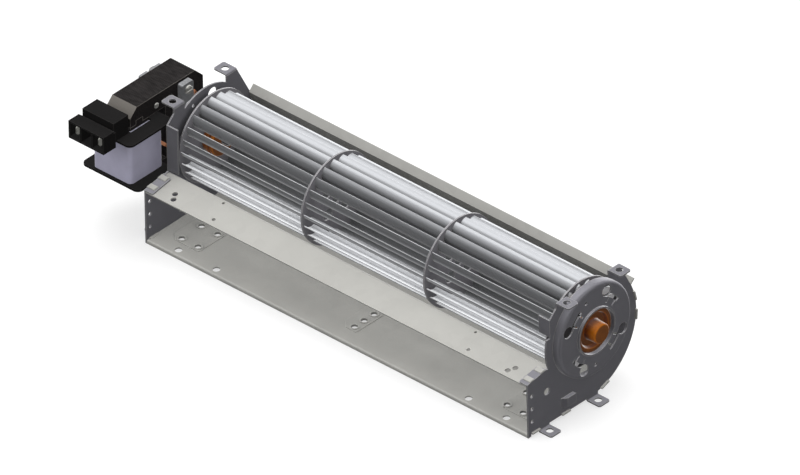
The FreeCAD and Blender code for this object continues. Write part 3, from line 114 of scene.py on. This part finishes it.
class MotorSettings(bpy.types.PropertyGroup):
    """Lamination stack, coil, bobbin, connector, bearing bridges and fasteners."""
    varnish: colour_property("Varnish", "Varnished electrical steel", "191717")
    # Painted highlight on the bevels facing front and up; along the edges partly bared steel and partly
    # painted highlight.
    bared: colour_property("Bared steel", "Bevels and edges where the varnish is worn off", "77736e")
    lamination: length_property("Lamination", "Pitch of the lamination lines, twice the real one", 1.0)
    streak: length_property("Streak", "Spacing of the rubbed streaks across the stack", 0.9)
    varnish_cloud: length_property("Varnish cloud", "Size of a thicker patch of varnish", 11.1)
    bared_and_highlight_width: length_property("Bared edge", "Width of the bared band along an edge of the stack", 0.5)
    tape: colour_property("Coil tape", "Lavender grey polyester tape", "b8b6cb")
    tape_width: length_property("Tape width", "Height of one turn of the tape", 9.0)
    tape_cloud: length_property("Tape cloud", "Size of a faint dent in the tape", 8.33)
    moulding: colour_property("Moulding", "Black nylon of the bobbin and connector", "171616")
    # The polished edge tone is a painted highlight along the moulded edges.
    polished: colour_property("Polished edge", "Edges of the mouldings", "3b3a39")
    edge_highlight_width: length_property("Polished width", "Width of the polished band along an edge", 0.35)
    moulding_grain: length_property("Moulding grain", "Size of the spark-eroded grain", 0.6)
    copper: colour_property("Copper", "Bare copper of the shading rings", "c98a68")
    tin: colour_property("Tin", "Tinned brass of the terminals", "dcdcd4")
    casting: colour_property("Casting", "Die-cast alloy of the bridges", "b4b5b8")
    fastener: colour_property("Fastener", "Zinc-plated screws, nuts and rivets", "c9c8c3")


class ShaftSettings(bpy.types.PropertyGroup):
    """Shafts, bushes and washers."""
    steel: colour_property("Ground steel", "Shafts", "d4d4d6")
    bronze: colour_property("Sintered bronze", "Bushes and the sleeve bearing", "a58558")
    washer: colour_property("Natural nylon", "Light tone of the washers", "d8d5c8")
    washer_shade: colour_property("Natural nylon shade", "Darker tone of the washers", "c6c2b3")
    washer_cloud: length_property("Washer cloud", "Size of a milky cloud in the nylon", 2.5)


class RubberSettings(bpy.types.PropertyGroup):
    """Silicone bearing mount and shaft coupling."""
    silicone: colour_property("Silicone", "Amber silicone rubber", "b4650e")
    recess: colour_property("Recess", "Deep tone where the rubber shades itself", "5a2003")
    # Painted shade for the faces square to the shaft that look along +X, away from most lamps.
    cut: colour_property("Square face", "Dull tone of the faces cut square to the shaft", "5f350c")
    recess_depth: length_property("Recess depth", "Depth of a recess that takes the deep tone", 7.0)
    cloud: length_property("Rubber cloud", "Size of a cloud in the rubber", 4.55)


class StudioSettings(bpy.types.PropertyGroup):
    """Camera, floor and light."""
    azimuth: angle_property("Azimuth", "Camera direction round the object", 43.5)
    elevation: angle_property("Elevation", "Camera height above the horizon", 34.7)
    roll: angle_property("Roll", "Turn of the picture", 1.3)
    width: length_property("Frame width", "Width that the picture covers", 479.7)
    floor: colour_property("Floor", "Pale paper floor", "b4b4b4")
    floor_grain: colour_property("Floor grain", "Slightly darker grain of the paper", "b2b2b2")
    grain_size: length_property("Grain size", "Size of a fleck in the paper", 1.67)
    floor_glow: strength_property("Floor glow", "Light that the paper gives off, so it stays white", 0.6)
    sky: strength_property("Sky", "Strength of the light all round", 1.0)
    matt: strength_property("Matt light", "Strength of the lamps that light paint, plastic and paper", 1.0)
    gloss: strength_property("Gloss light", "Strength of the lamps that the metal mirrors", 1.0)


def join(tree, node, links):
    """Fills a node's inputs with values or with other nodes' outputs."""
    for name, value in links.items():
        if isinstance(value, bpy.types.NodeSocket):
            tree.links.new(value, node.inputs[name])
        else:
            node.inputs[name].default_value = value


def add(tree, kind, settings=None, links=None):
    """Adds a node with its settings and links.

    A link is an input's name or its place in the node's list. Map Range takes a value at 0, its range at 1
    and 2, and the new range at 3 and 4. Mix takes the share at 0 and the two colours at 6 and 7.
    """
    made = tree.nodes.new("ShaderNode" + kind)
    for name, value in (settings or {}).items():
        setattr(made, name, value)
    join(tree, made, links or {})
    return made


def start_finish(name):
    """A new material, with its tree, its shader and the place on the object in metres."""
    material = bpy.data.materials.new(name)
    material.use_nodes = True
    tree = material.node_tree
    place = add(tree, "TexCoord")
    return material, tree, tree.nodes["Principled BSDF"], place


def edge_wear_and_highlight(tree, width):
    """1 along the outer and inner edges of a piece, and 0 on its flats: the mask of a light band that is
    partly wear and partly a painted highlight.
    """
    rounded = add(tree, "Bevel", {"samples": 6}, {"Radius": width}).outputs["Normal"]
    flat = add(tree, "NewGeometry").outputs["Normal"]
    match = add(tree, "VectorMath", {"operation": "DOT_PRODUCT"}, {0: rounded, 1: flat}).outputs["Value"]
    return add(tree, "MapRange", {}, {0: match, 1: 0.995, 2: 0.9}).outputs[0]


def with_painted_shade(tree, colour, closed, open_air):
    """The colour with painted shade: darker in the gaps between close pieces.

    Lamps without shadows would light those gaps too much. Closed and open_air are how free the surface is,
    from 0 to 1, where it is darkest and where it has its full colour.
    """
    shade = add(tree, "AmbientOcclusion", {"samples": 6}, {"Distance": SHADE_REACH})
    depth = add(tree, "MapRange", {}, {0: shade.outputs["AO"], 1: closed, 2: open_air, 3: 0.12, 4: 1.0})
    return add(tree, "Mix", {"data_type": "RGBA", "blend_type": "MULTIPLY"},
               {0: 1.0, 6: colour, 7: depth.outputs[0]}).outputs[2]


def zinc_sheet(name, base, metallic):
    """Hot-dip galvanised steel, rolled and pressed: faint crystals, rolling lines and a light edge band,
    partly bare cut steel and partly a painted highlight.

    The less metallic, the more the grey oxide on the zinc evens out what it mirrors. Cloudy tones keep the
    large flats from looking even.
    """
    sheet = bpy.context.scene.fan_sheet
    material, tree, shader, place = start_finish(name)
    crystals = add(tree, "TexVoronoi", {"feature": "F1"},
                   {"Vector": place.outputs["Object"], "Scale": 1 / sheet.spangle})
    tone = add(tree, "MapRange", {}, {0: crystals.outputs["Color"], 3: 0.96, 4: 1.03})
    stretched = add(tree, "Mapping", {}, {"Vector": place.outputs["Object"], "Scale": (0.03, 1.0, 1.0)})
    lines = add(tree, "TexNoise", {},
                {"Vector": stretched.outputs[0], "Scale": 1 / sheet.rolling_line, "Detail": 3.0})
    clouds = add(tree, "TexNoise", {},
                 {"Vector": place.outputs["Object"], "Scale": 1 / sheet.cloud, "Detail": 4.0})
    cloud_tone = add(tree, "MapRange", {},
                     {0: clouds.outputs[0], 1: NOISE_LOW, 2: NOISE_HIGH, 3: 0.95, 4: 1.05})
    toned = add(tree, "Mix", {"data_type": "RGBA", "blend_type": "MULTIPLY"},
                {0: 1.0, 6: tuple(base), 7: tone.outputs[0]})
    clouded = add(tree, "Mix", {"data_type": "RGBA", "blend_type": "MULTIPLY"},
                  {0: 1.0, 6: toned.outputs[2], 7: cloud_tone.outputs[0]})
    # Light edge band: partly bare cut steel, partly a painted highlight.
    edge = edge_wear_and_highlight(tree, sheet.wear_and_highlight_width)
    bare = add(tree, "Mix", {"data_type": "RGBA"}, {0: edge, 6: clouded.outputs[2], 7: tuple(sheet.edge)})
    roughness = add(tree, "MapRange", {}, {0: crystals.outputs["Color"], 3: 0.36, 4: 0.46})
    bump = add(tree, "Bump", {}, {"Strength": 0.05, "Distance": 0.1 * MM, "Height": lines.outputs[0]})
    # Painted shade: the sheet darkens in the gaps between close pieces.
    colour = with_painted_shade(tree, bare.outputs[2], 0.1, 0.36)
    join(tree, shader, {"Base Color": colour, "Metallic": metallic, "Roughness": roughness.outputs[0],
                        "Normal": bump.outputs[0]})
    return material


def rolled_aluminium():
    """Bright aluminium strip, rolled along its length: long soft reflections broken by fine lines.

    The sheared edges and the ends folded over the discs take a light matt grey. On the ends, which face along
    the shaft, it is a painted highlight; on the edges it is partly scuff and partly a painted highlight.
    """
    impeller = bpy.context.scene.fan_impeller
    material, tree, shader, place = start_finish("aluminium_rolled_bright")
    stretched = add(tree, "Mapping", {}, {"Vector": place.outputs["Object"], "Scale": (0.003, 1.0, 1.0)})
    lines = add(tree, "TexNoise", {},
                {"Vector": stretched.outputs[0], "Scale": 1 / impeller.roll_line, "Detail": 2.0})
    tone = add(tree, "MapRange", {}, {0: lines.outputs[0], 1: NOISE_LOW, 2: NOISE_HIGH, 3: 0.9, 4: 1.0})
    rolled = add(tree, "Mix", {"data_type": "RGBA", "blend_type": "MULTIPLY"},
                 {0: 1.0, 6: tuple(impeller.blade), 7: tone.outputs[0]})
    # Painted highlight: faces that look along the shaft, the folded ends, turn light matt grey.
    split = add(tree, "SeparateXYZ", {}, {0: place.outputs["Normal"]})
    across = add(tree, "Math", {"operation": "ABSOLUTE"}, {0: split.outputs["X"]})
    folded = add(tree, "MapRange", {}, {0: across.outputs[0], 1: 0.8, 2: 0.95})
    edge = edge_wear_and_highlight(tree, impeller.edge_width)
    scuff_and_highlight = add(tree, "Math", {"operation": "MAXIMUM"}, {0: folded.outputs[0], 1: edge})
    # Painted shade: the blades darken in the gaps between close pieces.
    shaded = with_painted_shade(tree, rolled.outputs[2], 0.13, 0.3)
    colour = add(tree, "Mix", {"data_type": "RGBA"},
                 {0: scuff_and_highlight.outputs[0], 6: shaded, 7: tuple(impeller.scuff_and_highlight)})
    metallic = add(tree, "MapRange", {}, {0: scuff_and_highlight.outputs[0], 3: 0.9, 4: 0.2})
    roughness = add(tree, "MapRange", {}, {0: lines.outputs[0], 3: 0.26, 4: 0.32})
    bump = add(tree, "Bump", {}, {"Strength": 0.02, "Distance": 0.05 * MM, "Height": lines.outputs[0]})
    join(tree, shader, {"Base Color": colour.outputs[2], "Metallic": metallic.outputs[0],
                        "Roughness": roughness.outputs[0], "Normal": bump.outputs[0]})
    return material


def silicone_rubber():
    """Moulded silicone rubber: amber with a soft sheen, with painted shade: brown in its recesses and on the
    faces square to the shaft that look along +X.
    """
    rubber = bpy.context.scene.fan_rubber
    material, tree, shader, place = start_finish("silicone_rubber_moulded")
    clouds = add(tree, "TexNoise", {},
                 {"Vector": place.outputs["Object"], "Scale": 1 / rubber.cloud, "Detail": 3.0})
    shade = add(tree, "AmbientOcclusion", {"samples": 8}, {"Distance": rubber.recess_depth})
    depth = add(tree, "MapRange", {}, {0: shade.outputs["AO"], 1: 0.35, 2: 0.85})
    colour = add(tree, "Mix", {"data_type": "RGBA"},
                 {0: depth.outputs[0], 6: tuple(rubber.recess), 7: tuple(rubber.silicone)})
    # Painted shade: faces that look along +X take the darker square-face tone.
    facing = add(tree, "SeparateXYZ", {}, {0: place.outputs["Normal"]})
    square = add(tree, "MapRange", {}, {0: facing.outputs["X"], 1: 0.8, 2: 0.97, 4: 0.8})
    cut = add(tree, "Mix", {"data_type": "RGBA"},
              {0: square.outputs[0], 6: colour.outputs[2], 7: tuple(rubber.cut)})
    tone = add(tree, "MapRange", {}, {0: clouds.outputs[0], 1: NOISE_LOW, 2: NOISE_HIGH, 3: 0.85, 4: 1.1})
    toned = add(tree, "Mix", {"data_type": "RGBA", "blend_type": "MULTIPLY"},
                {0: 1.0, 6: cut.outputs[2], 7: tone.outputs[0]})
    bump = add(tree, "Bump", {}, {"Strength": 0.15, "Distance": 0.1 * MM, "Height": clouds.outputs[0]})
    join(tree, shader, {"Base Color": toned.outputs[2], "Roughness": 0.3, "IOR": 1.43,
                        "Normal": bump.outputs[0]})
    return material


def varnished_laminations():
    """Stacked electrical steel under brown-black varnish: fine lines, rubbed streaks, lighter edges and
    bevels.
    """
    motor = bpy.context.scene.fan_motor
    material, tree, shader, place = start_finish("electrical_steel_stacked_varnished")
    turns = 2 * math.pi / motor.lamination
    split = add(tree, "SeparateXYZ", {}, {0: place.outputs["Object"]})
    phase = add(tree, "Math", {"operation": "MULTIPLY"}, {0: split.outputs["X"], 1: turns})
    stretched = add(tree, "Mapping", {}, {"Vector": place.outputs["Object"], "Scale": (0.15, 1.0, 1.0)})
    streaks = add(tree, "TexNoise", {},
                  {"Vector": stretched.outputs[0], "Scale": 1 / motor.streak, "Detail": 3.0})
    wave = add(tree, "Math", {"operation": "SINE"}, {0: phase.outputs[0]})
    clouds = add(tree, "TexNoise", {},
                 {"Vector": place.outputs["Object"], "Scale": 1 / motor.varnish_cloud, "Detail": 5.0})
    drift = add(tree, "Math", {"operation": "MULTIPLY_ADD"},
                {0: clouds.outputs[0], 1: 1.2, 2: wave.outputs[0]})
    rubbed = add(tree, "Math", {"operation": "MULTIPLY_ADD"},
                 {0: streaks.outputs[0], 1: 5.0, 2: drift.outputs[0]})
    tone = add(tree, "MapRange", {}, {0: rubbed.outputs[0], 1: 1.7, 2: 4.3, 3: 0.3, 4: 3.0})
    colour = add(tree, "Mix", {"data_type": "RGBA", "blend_type": "MULTIPLY"},
                 {0: 1.0, 6: tuple(motor.varnish), 7: tone.outputs[0]})
    # The edge band is partly bared steel and partly a painted highlight.
    edge = edge_wear_and_highlight(tree, motor.bared_and_highlight_width)
    # Painted highlight: faces turned towards the front and the top take the light bared tone.
    facing = add(tree, "SeparateXYZ", {}, {0: place.outputs["Normal"]})
    corner = add(tree, "Math", {"operation": "MULTIPLY"}, {0: facing.outputs["Y"], 1: facing.outputs["Z"]})
    bevelled = add(tree, "MapRange", {}, {0: corner.outputs[0], 1: -0.2, 2: -0.4})
    bare = add(tree, "Math", {"operation": "MAXIMUM"}, {0: edge, 1: bevelled.outputs[0]})
    worn = add(tree, "Mix", {"data_type": "RGBA"},
               {0: bare.outputs[0], 6: colour.outputs[2], 7: tuple(motor.bared)})
    bump = add(tree, "Bump", {}, {"Strength": 0.5, "Distance": 0.12 * MM, "Height": drift.outputs[0]})
    join(tree, shader, {"Base Color": worn.outputs[2], "Roughness": 0.5, "Specular IOR Level": 0.04,
                        "Normal": bump.outputs[0]})
    return material


def coil_tape():
    """Polyester tape wound over the coil: a smooth lavender grey skin with faint overlaps."""
    motor = bpy.context.scene.fan_motor
    material, tree, shader, place = start_finish("polyester_tape_wound")
    split = add(tree, "SeparateXYZ", {}, {0: place.outputs["Object"]})
    phase = add(tree, "Math", {"operation": "DIVIDE"}, {0: split.outputs["Z"], 1: motor.tape_width})
    turn = add(tree, "Math", {"operation": "FRACT"}, {0: phase.outputs[0]})
    lap = add(tree, "MapRange", {"interpolation_type": "SMOOTHSTEP"}, {0: turn.outputs[0], 1: 0.0, 2: 0.08})
    clouds = add(tree, "TexNoise", {},
                 {"Vector": place.outputs["Object"], "Scale": 1 / motor.tape_cloud, "Detail": 3.0})
    tone = add(tree, "MapRange", {}, {0: clouds.outputs[0], 1: NOISE_LOW, 2: NOISE_HIGH, 3: 0.94, 4: 1.04})
    colour = add(tree, "Mix", {"data_type": "RGBA", "blend_type": "MULTIPLY"},
                 {0: 1.0, 6: tuple(motor.tape), 7: tone.outputs[0]})
    height = add(tree, "Math", {"operation": "ADD"}, {0: lap.outputs[0], 1: clouds.outputs[0]})
    bump = add(tree, "Bump", {}, {"Strength": 0.2, "Distance": 0.12 * MM, "Height": height.outputs[0]})
    join(tree, shader, {"Base Color": colour.outputs[2], "Roughness": 0.42, "IOR": 1.57,
                        "Normal": bump.outputs[0]})
    return material


def black_nylon():
    """Injection-moulded nylon: black with a painted highlight along its edges, its gloss lost in a
    spark-eroded grain.
    """
    motor = bpy.context.scene.fan_motor
    material, tree, shader, place = start_finish("nylon_moulded_black")
    grain = add(tree, "TexNoise", {},
                {"Vector": place.outputs["Object"], "Scale": 1 / motor.moulding_grain, "Detail": 2.0})
    tone = add(tree, "MapRange", {}, {0: grain.outputs[0], 1: NOISE_LOW, 2: NOISE_HIGH, 3: 0.85, 4: 1.2})
    colour = add(tree, "Mix", {"data_type": "RGBA", "blend_type": "MULTIPLY"},
                 {0: 1.0, 6: tuple(motor.moulding), 7: tone.outputs[0]})
    # Painted highlight: a lighter band along the edges of the mouldings.
    edge = edge_wear_and_highlight(tree, motor.edge_highlight_width)
    worn = add(tree, "Mix", {"data_type": "RGBA"},
               {0: edge, 6: colour.outputs[2], 7: tuple(motor.polished)})
    bump = add(tree, "Bump", {}, {"Strength": 0.2, "Distance": 0.06 * MM, "Height": grain.outputs[0]})
    join(tree, shader, {"Base Color": worn.outputs[2], "Roughness": 0.46, "Specular IOR Level": 0.04,
                        "Normal": bump.outputs[0]})
    return material


def plain_metal(name, colour, roughness, grain, stretch):
    """A bare metal with a grain of its own: cast, plated, ground, sintered or drawn.

    Grain is its size in metres, and stretch draws it out along an axis where the metal was ground or drawn.
    """
    material, tree, shader, place = start_finish(name)
    scaled = add(tree, "Mapping", {}, {"Vector": place.outputs["Object"], "Scale": stretch})
    grit = add(tree, "TexNoise", {}, {"Vector": scaled.outputs[0], "Scale": 1 / grain, "Detail": 3.0})
    tone = add(tree, "MapRange", {}, {0: grit.outputs[0], 1: NOISE_LOW, 2: NOISE_HIGH, 3: 0.8, 4: 1.08})
    toned = add(tree, "Mix", {"data_type": "RGBA", "blend_type": "MULTIPLY"},
                {0: 1.0, 6: tuple(colour), 7: tone.outputs[0]})
    rough = add(tree, "MapRange", {}, {0: grit.outputs[0], 3: roughness - 0.06, 4: roughness + 0.08})
    bump = add(tree, "Bump", {}, {"Strength": 0.25, "Distance": 0.06 * MM, "Height": grit.outputs[0]})
    join(tree, shader, {"Base Color": toned.outputs[2], "Metallic": 1.0, "Roughness": rough.outputs[0],
                        "Normal": bump.outputs[0]})
    return material


def natural_nylon():
    """Machined natural nylon: milky, slightly glossy washers."""
    shafts = bpy.context.scene.fan_shafts
    material, tree, shader, place = start_finish("nylon_turned_natural")
    clouds = add(tree, "TexNoise", {}, {"Vector": place.outputs["Object"], "Scale": 1 / shafts.washer_cloud})
    colour = add(tree, "Mix", {"data_type": "RGBA"},
                 {0: clouds.outputs[0], 6: tuple(shafts.washer), 7: tuple(shafts.washer_shade)})
    join(tree, shader, {"Base Color": colour.outputs[2], "Roughness": 0.4, "IOR": 1.53})
    return material


def dress(material, *names):
    """Gives CAD nodes a finish."""
    for name in names:
        node = frame["nodes"][name]
        node.data.materials.clear()
        node.data.materials.append(material)


def nodes_named(start):
    return sorted(name for name in frame["nodes"] if name.startswith(start))


class FAN_OT_scroll(bpy.types.Operator):
    """Dress the scroll sheet and the tongue panel in rolled zinc sheet"""
    bl_idname = "fan.scroll"
    bl_label = "Scroll and tongue panel"

    def execute(self, context):
        sheet = context.scene.fan_sheet
        dress(zinc_sheet("galvanised_steel_rolled", sheet.rolled, 0.45), "scroll_sheet", "tongue_panel")
        return {"FINISHED"}


class FAN_OT_end_plates(bpy.types.Operator):
    """Dress the pressed end plates"""
    bl_idname = "fan.end_plates"
    bl_label = "End plates"

    def execute(self, context):
        sheet = context.scene.fan_sheet
        # The darker pressed tone is painted shade on the same zinc as the scroll.
        pressed = zinc_sheet("galvanised_steel_pressed", sheet.pressed, 0.75)
        dress(pressed, "motor_end_plate", "bearing_end_plate")
        return {"FINISHED"}


class FAN_OT_impeller(bpy.types.Operator):
    """Dress the blades and discs"""
    bl_idname = "fan.impeller"
    bl_label = "Impeller"

    def execute(self, context):
        dress(rolled_aluminium(), *nodes_named("blade_"))
        sheet = context.scene.fan_sheet
        # The darker disc tone is painted shade on the same zinc as the scroll.
        dress(zinc_sheet("galvanised_steel_disc", sheet.disc, 0.5), *nodes_named("impeller_disc"))
        return {"FINISHED"}


class FAN_OT_rubber(bpy.types.Operator):
    """Dress the bearing's rubber mount and the shaft coupling"""
    bl_idname = "fan.rubber"
    bl_label = "Rubber mount and coupling"

    def execute(self, context):
        dress(silicone_rubber(), "bearing_rubber_mount", "shaft_coupling")
        return {"FINISHED"}


class FAN_OT_shafts(bpy.types.Operator):
    """Dress the shafts, the bushes, the sleeve bearing and the washers"""
    bl_idname = "fan.shafts"
    bl_label = "Shafts and bearings"

    def execute(self, context):
        shafts = context.scene.fan_shafts
        ground = plain_metal("steel_ground", shafts.steel, 0.2, 0.5 * MM, (1.0, 0.1, 0.1))
        dress(ground, "motor_shaft", "stub_shaft")
        bronze = plain_metal("bronze_sintered", shafts.bronze, 0.5, 0.4 * MM, (1.0, 1.0, 1.0))
        dress(bronze, "sleeve_bearing", "front_motor_bush", "rear_motor_bush")
        dress(natural_nylon(), "thrust_washers")
        return {"FINISHED"}


class FAN_OT_stack(bpy.types.Operator):
    """Dress the lamination stack, its core, the rotor and the shading rings"""
    bl_idname = "fan.stack"
    bl_label = "Lamination stack"

    def execute(self, context):
        dress(varnished_laminations(), "stator_laminations", "coil_core", "motor_rotor")
        motor = context.scene.fan_motor
        copper = plain_metal("copper_drawn", motor.copper, 0.3, 0.8 * MM, (0.2, 1.0, 1.0))
        dress(copper, "shading_ring_1", "shading_ring_2")
        return {"FINISHED"}


class FAN_OT_coil(bpy.types.Operator):
    """Dress the coil, the bobbin, the connector and its terminals"""
    bl_idname = "fan.coil"
    bl_label = "Coil and connector"

    def execute(self, context):
        dress(coil_tape(), "coil_winding")
        dress(black_nylon(), "coil_bobbin", "connector_housing")
        motor = context.scene.fan_motor
        tin = plain_metal("brass_tinned", motor.tin, 0.3, 0.7 * MM, (1.0, 0.2, 1.0))
        dress(tin, "terminal_tab_1", "terminal_tab_2")
        return {"FINISHED"}


class FAN_OT_bridges(bpy.types.Operator):
    """Dress the bearing bridges, the hub and the fasteners"""
    bl_idname = "fan.bridges"
    bl_label = "Bridges and fasteners"

    def execute(self, context):
        motor = context.scene.fan_motor
        cast = plain_metal("zinc_alloy_die_cast", motor.casting, 0.42, 1.2 * MM, (1.0, 1.0, 1.0))
        dress(cast, "front_bearing_bridge", "rear_bearing_bridge", "bearing_hub")
        plated = plain_metal("steel_zinc_plated", motor.fastener, 0.3, 0.6 * MM, (1.0, 1.0, 1.0))
        dress(plated, "stack_rivets", "bridge_screws", "bridge_nuts", "motor_mount_screws")
        return {"FINISHED"}


class FAN_OT_stage(bpy.types.Operator):
    """Make the floor, the light and the camera"""
    bl_idname = "fan.stage"
    bl_label = "Stage"

    def execute(self, context):
        studio = context.scene.fan_studio
        for node in frame["nodes"].values():
            node.visible_glossy = False   # so the metal mirrors the room alone
        build_floor(studio)
        build_light(studio)
        build_camera(studio)
        return {"FINISHED"}


def build_floor(studio):
    """Matt white paper with a fine grain that softens it, left out of what the metal mirrors."""
    form = bmesh.new()
    bmesh.ops.create_grid(form, x_segments=1, y_segments=1, size=FLOOR_HALF_WIDTH)
    mesh = bpy.data.meshes.new("floor")
    form.to_mesh(mesh)
    form.free()
    material, tree, shader, place = start_finish("paper_matt_white")
    grain = add(tree, "TexNoise", {}, {"Vector": place.outputs["Object"], "Scale": 1 / studio.grain_size})
    colour = add(tree, "Mix", {"data_type": "RGBA"},
                 {0: grain.outputs[0], 6: tuple(studio.floor), 7: tuple(studio.floor_grain)})
    join(tree, shader, {"Base Color": colour.outputs[2], "Roughness": 0.9, "Specular IOR Level": 0.0,
                        "Emission Color": (1.0, 1.0, 1.0, 1.0), "Emission Strength": studio.floor_glow})
    mesh.materials.append(material)
    floor = bpy.data.objects.new("floor", mesh)
    floor.location.z = -FLOOR_DROP
    floor.visible_glossy = False
    floor.visible_diffuse = False
    bpy.context.scene.collection.objects.link(floor)


def build_light(studio):
    """A room bright above the motor end and darker towards the floor at the bearing end, and soft lamps.

    A paler patch of the room lights the tops seen from the rear. The lamps from overhead, in front and behind
    throw shadows, and the rest lift the insides a little. Behind the object the room shows plain white.
    """
    world = bpy.data.worlds.new("studio")
    world.use_nodes = True
    tree = world.node_tree
    direction = add(tree, "TexCoord").outputs["Generated"]
    lean = add(tree, "VectorMath", {"operation": "DOT_PRODUCT"}, {0: direction, 1: BRIGHT_SIDE})
    height = add(tree, "SeparateXYZ", {}, {0: direction})
    rise = add(tree, "MapRange", {"clamp": False}, {0: height.outputs["Z"], 1: 0.35, 2: 1.0})
    higher = add(tree, "Math", {"operation": "MAXIMUM"}, {0: lean.outputs["Value"], 1: rise.outputs[0]})
    level = add(tree, "MapRange", {}, {0: higher.outputs[0], 1: -1.0, 2: 1.0})
    steps = add(tree, "ValToRGB", {}, {"Fac": level.outputs[0]})
    ramp = steps.color_ramp
    ramp.elements[0].position, ramp.elements[1].position = ROOM_STEPS[0][0], ROOM_STEPS[-1][0]
    for place, _ in ROOM_STEPS[1:-1]:
        ramp.elements.new(place)
    for element, (_, tone) in zip(ramp.elements, ROOM_STEPS):
        element.color = (tone, tone, tone, 1.0)
    seen = add(tree, "LightPath").outputs["Is Camera Ray"]
    shown = add(tree, "Mix", {"data_type": "RGBA"},
                {0: seen, 6: steps.outputs["Color"], 7: (1.0, 1.0, 1.0, 1.0)})
    background = tree.nodes["Background"]
    tree.links.new(shown.outputs[2], background.inputs["Color"])
    background.inputs["Strength"].default_value = studio.sky
    bpy.context.scene.world = world
    for name, strength, spread, source, on_metal, shadow in LAMPS:
        light = bpy.data.lights.new(name, "SUN")
        light.energy = strength * (studio.gloss if on_metal else studio.matt)
        light.angle = math.radians(spread)
        light.use_shadow = shadow
        lamp = bpy.data.objects.new(name, light)
        lamp.rotation_euler = Vector(source).to_track_quat("Z", "Y").to_euler()
        lamp.visible_diffuse = not on_metal
        lamp.visible_glossy = on_metal
        bpy.context.scene.collection.objects.link(lamp)
    bpy.context.scene.view_settings.view_transform = "Standard"


def build_camera(studio):
    """A long lens, flat enough to be drawn without perspective."""
    camera = bpy.data.cameras.new("camera")
    camera.type = "ORTHO"
    camera.ortho_scale = studio.width
    camera.clip_end = 20.0
    holder = bpy.data.objects.new("camera", camera)
    aim = AXIS + FRAME_SHIFT
    turn = Matrix.Rotation(studio.azimuth, 4, "Z") @ Matrix.Rotation(math.pi / 2 - studio.elevation, 4, "X")
    turn = turn @ Matrix.Rotation(-studio.roll, 4, "Z")
    holder.matrix_world = Matrix.Translation(aim) @ turn @ Matrix.Translation((0.0, 0.0, CAMERA_DISTANCE))
    bpy.context.scene.collection.objects.link(holder)
    bpy.context.scene.camera = holder


class FAN_PT_sidebar(bpy.types.Panel):
    """Lists the fan's pieces and their settings"""
    bl_idname = "FAN_PT_sidebar"
    bl_label = "Cross flow fan"
    bl_space_type = "VIEW_3D"
    bl_region_type = "UI"
    bl_category = "Fan"

    def draw(self, context):
        for operator in OPERATORS:
            self.layout.operator(operator.bl_idname)
        for name in SETTINGS:
            group = getattr(context.scene, name)
            for entry in group.bl_rna.properties:
                if entry.identifier not in ("rna_type", "name"):
                    self.layout.prop(group, entry.identifier)


SETTINGS = {
    "fan_sheet": SheetSettings,
    "fan_impeller": ImpellerSettings,
    "fan_motor": MotorSettings,
    "fan_shafts": ShaftSettings,
    "fan_rubber": RubberSettings,
    "fan_studio": StudioSettings,
}
OPERATORS = (
    FAN_OT_scroll,
    FAN_OT_end_plates,
    FAN_OT_impeller,
    FAN_OT_rubber,
    FAN_OT_shafts,
    FAN_OT_stack,
    FAN_OT_coil,
    FAN_OT_bridges,
    FAN_OT_stage,
)


def register():
    for kind in (*SETTINGS.values(), *OPERATORS, FAN_PT_sidebar):
        bpy.utils.register_class(kind)
    for name, group in SETTINGS.items():
        setattr(bpy.types.Scene, name, bpy.props.PointerProperty(type=group))


def unregister():
    for name in SETTINGS:
        delattr(bpy.types.Scene, name)
    for kind in (FAN_PT_sidebar, *OPERATORS[::-1], *reversed(SETTINGS.values())):
        bpy.utils.unregister_class(kind)


def main():
    register()
    bpy.ops.fan.scroll()
    bpy.ops.fan.end_plates()
    bpy.ops.fan.impeller()
    bpy.ops.fan.rubber()
    bpy.ops.fan.shafts()
    bpy.ops.fan.stack()
    bpy.ops.fan.coil()
    bpy.ops.fan.bridges()
    bpy.ops.fan.stage()


if __name__ == "__main__":
    main()
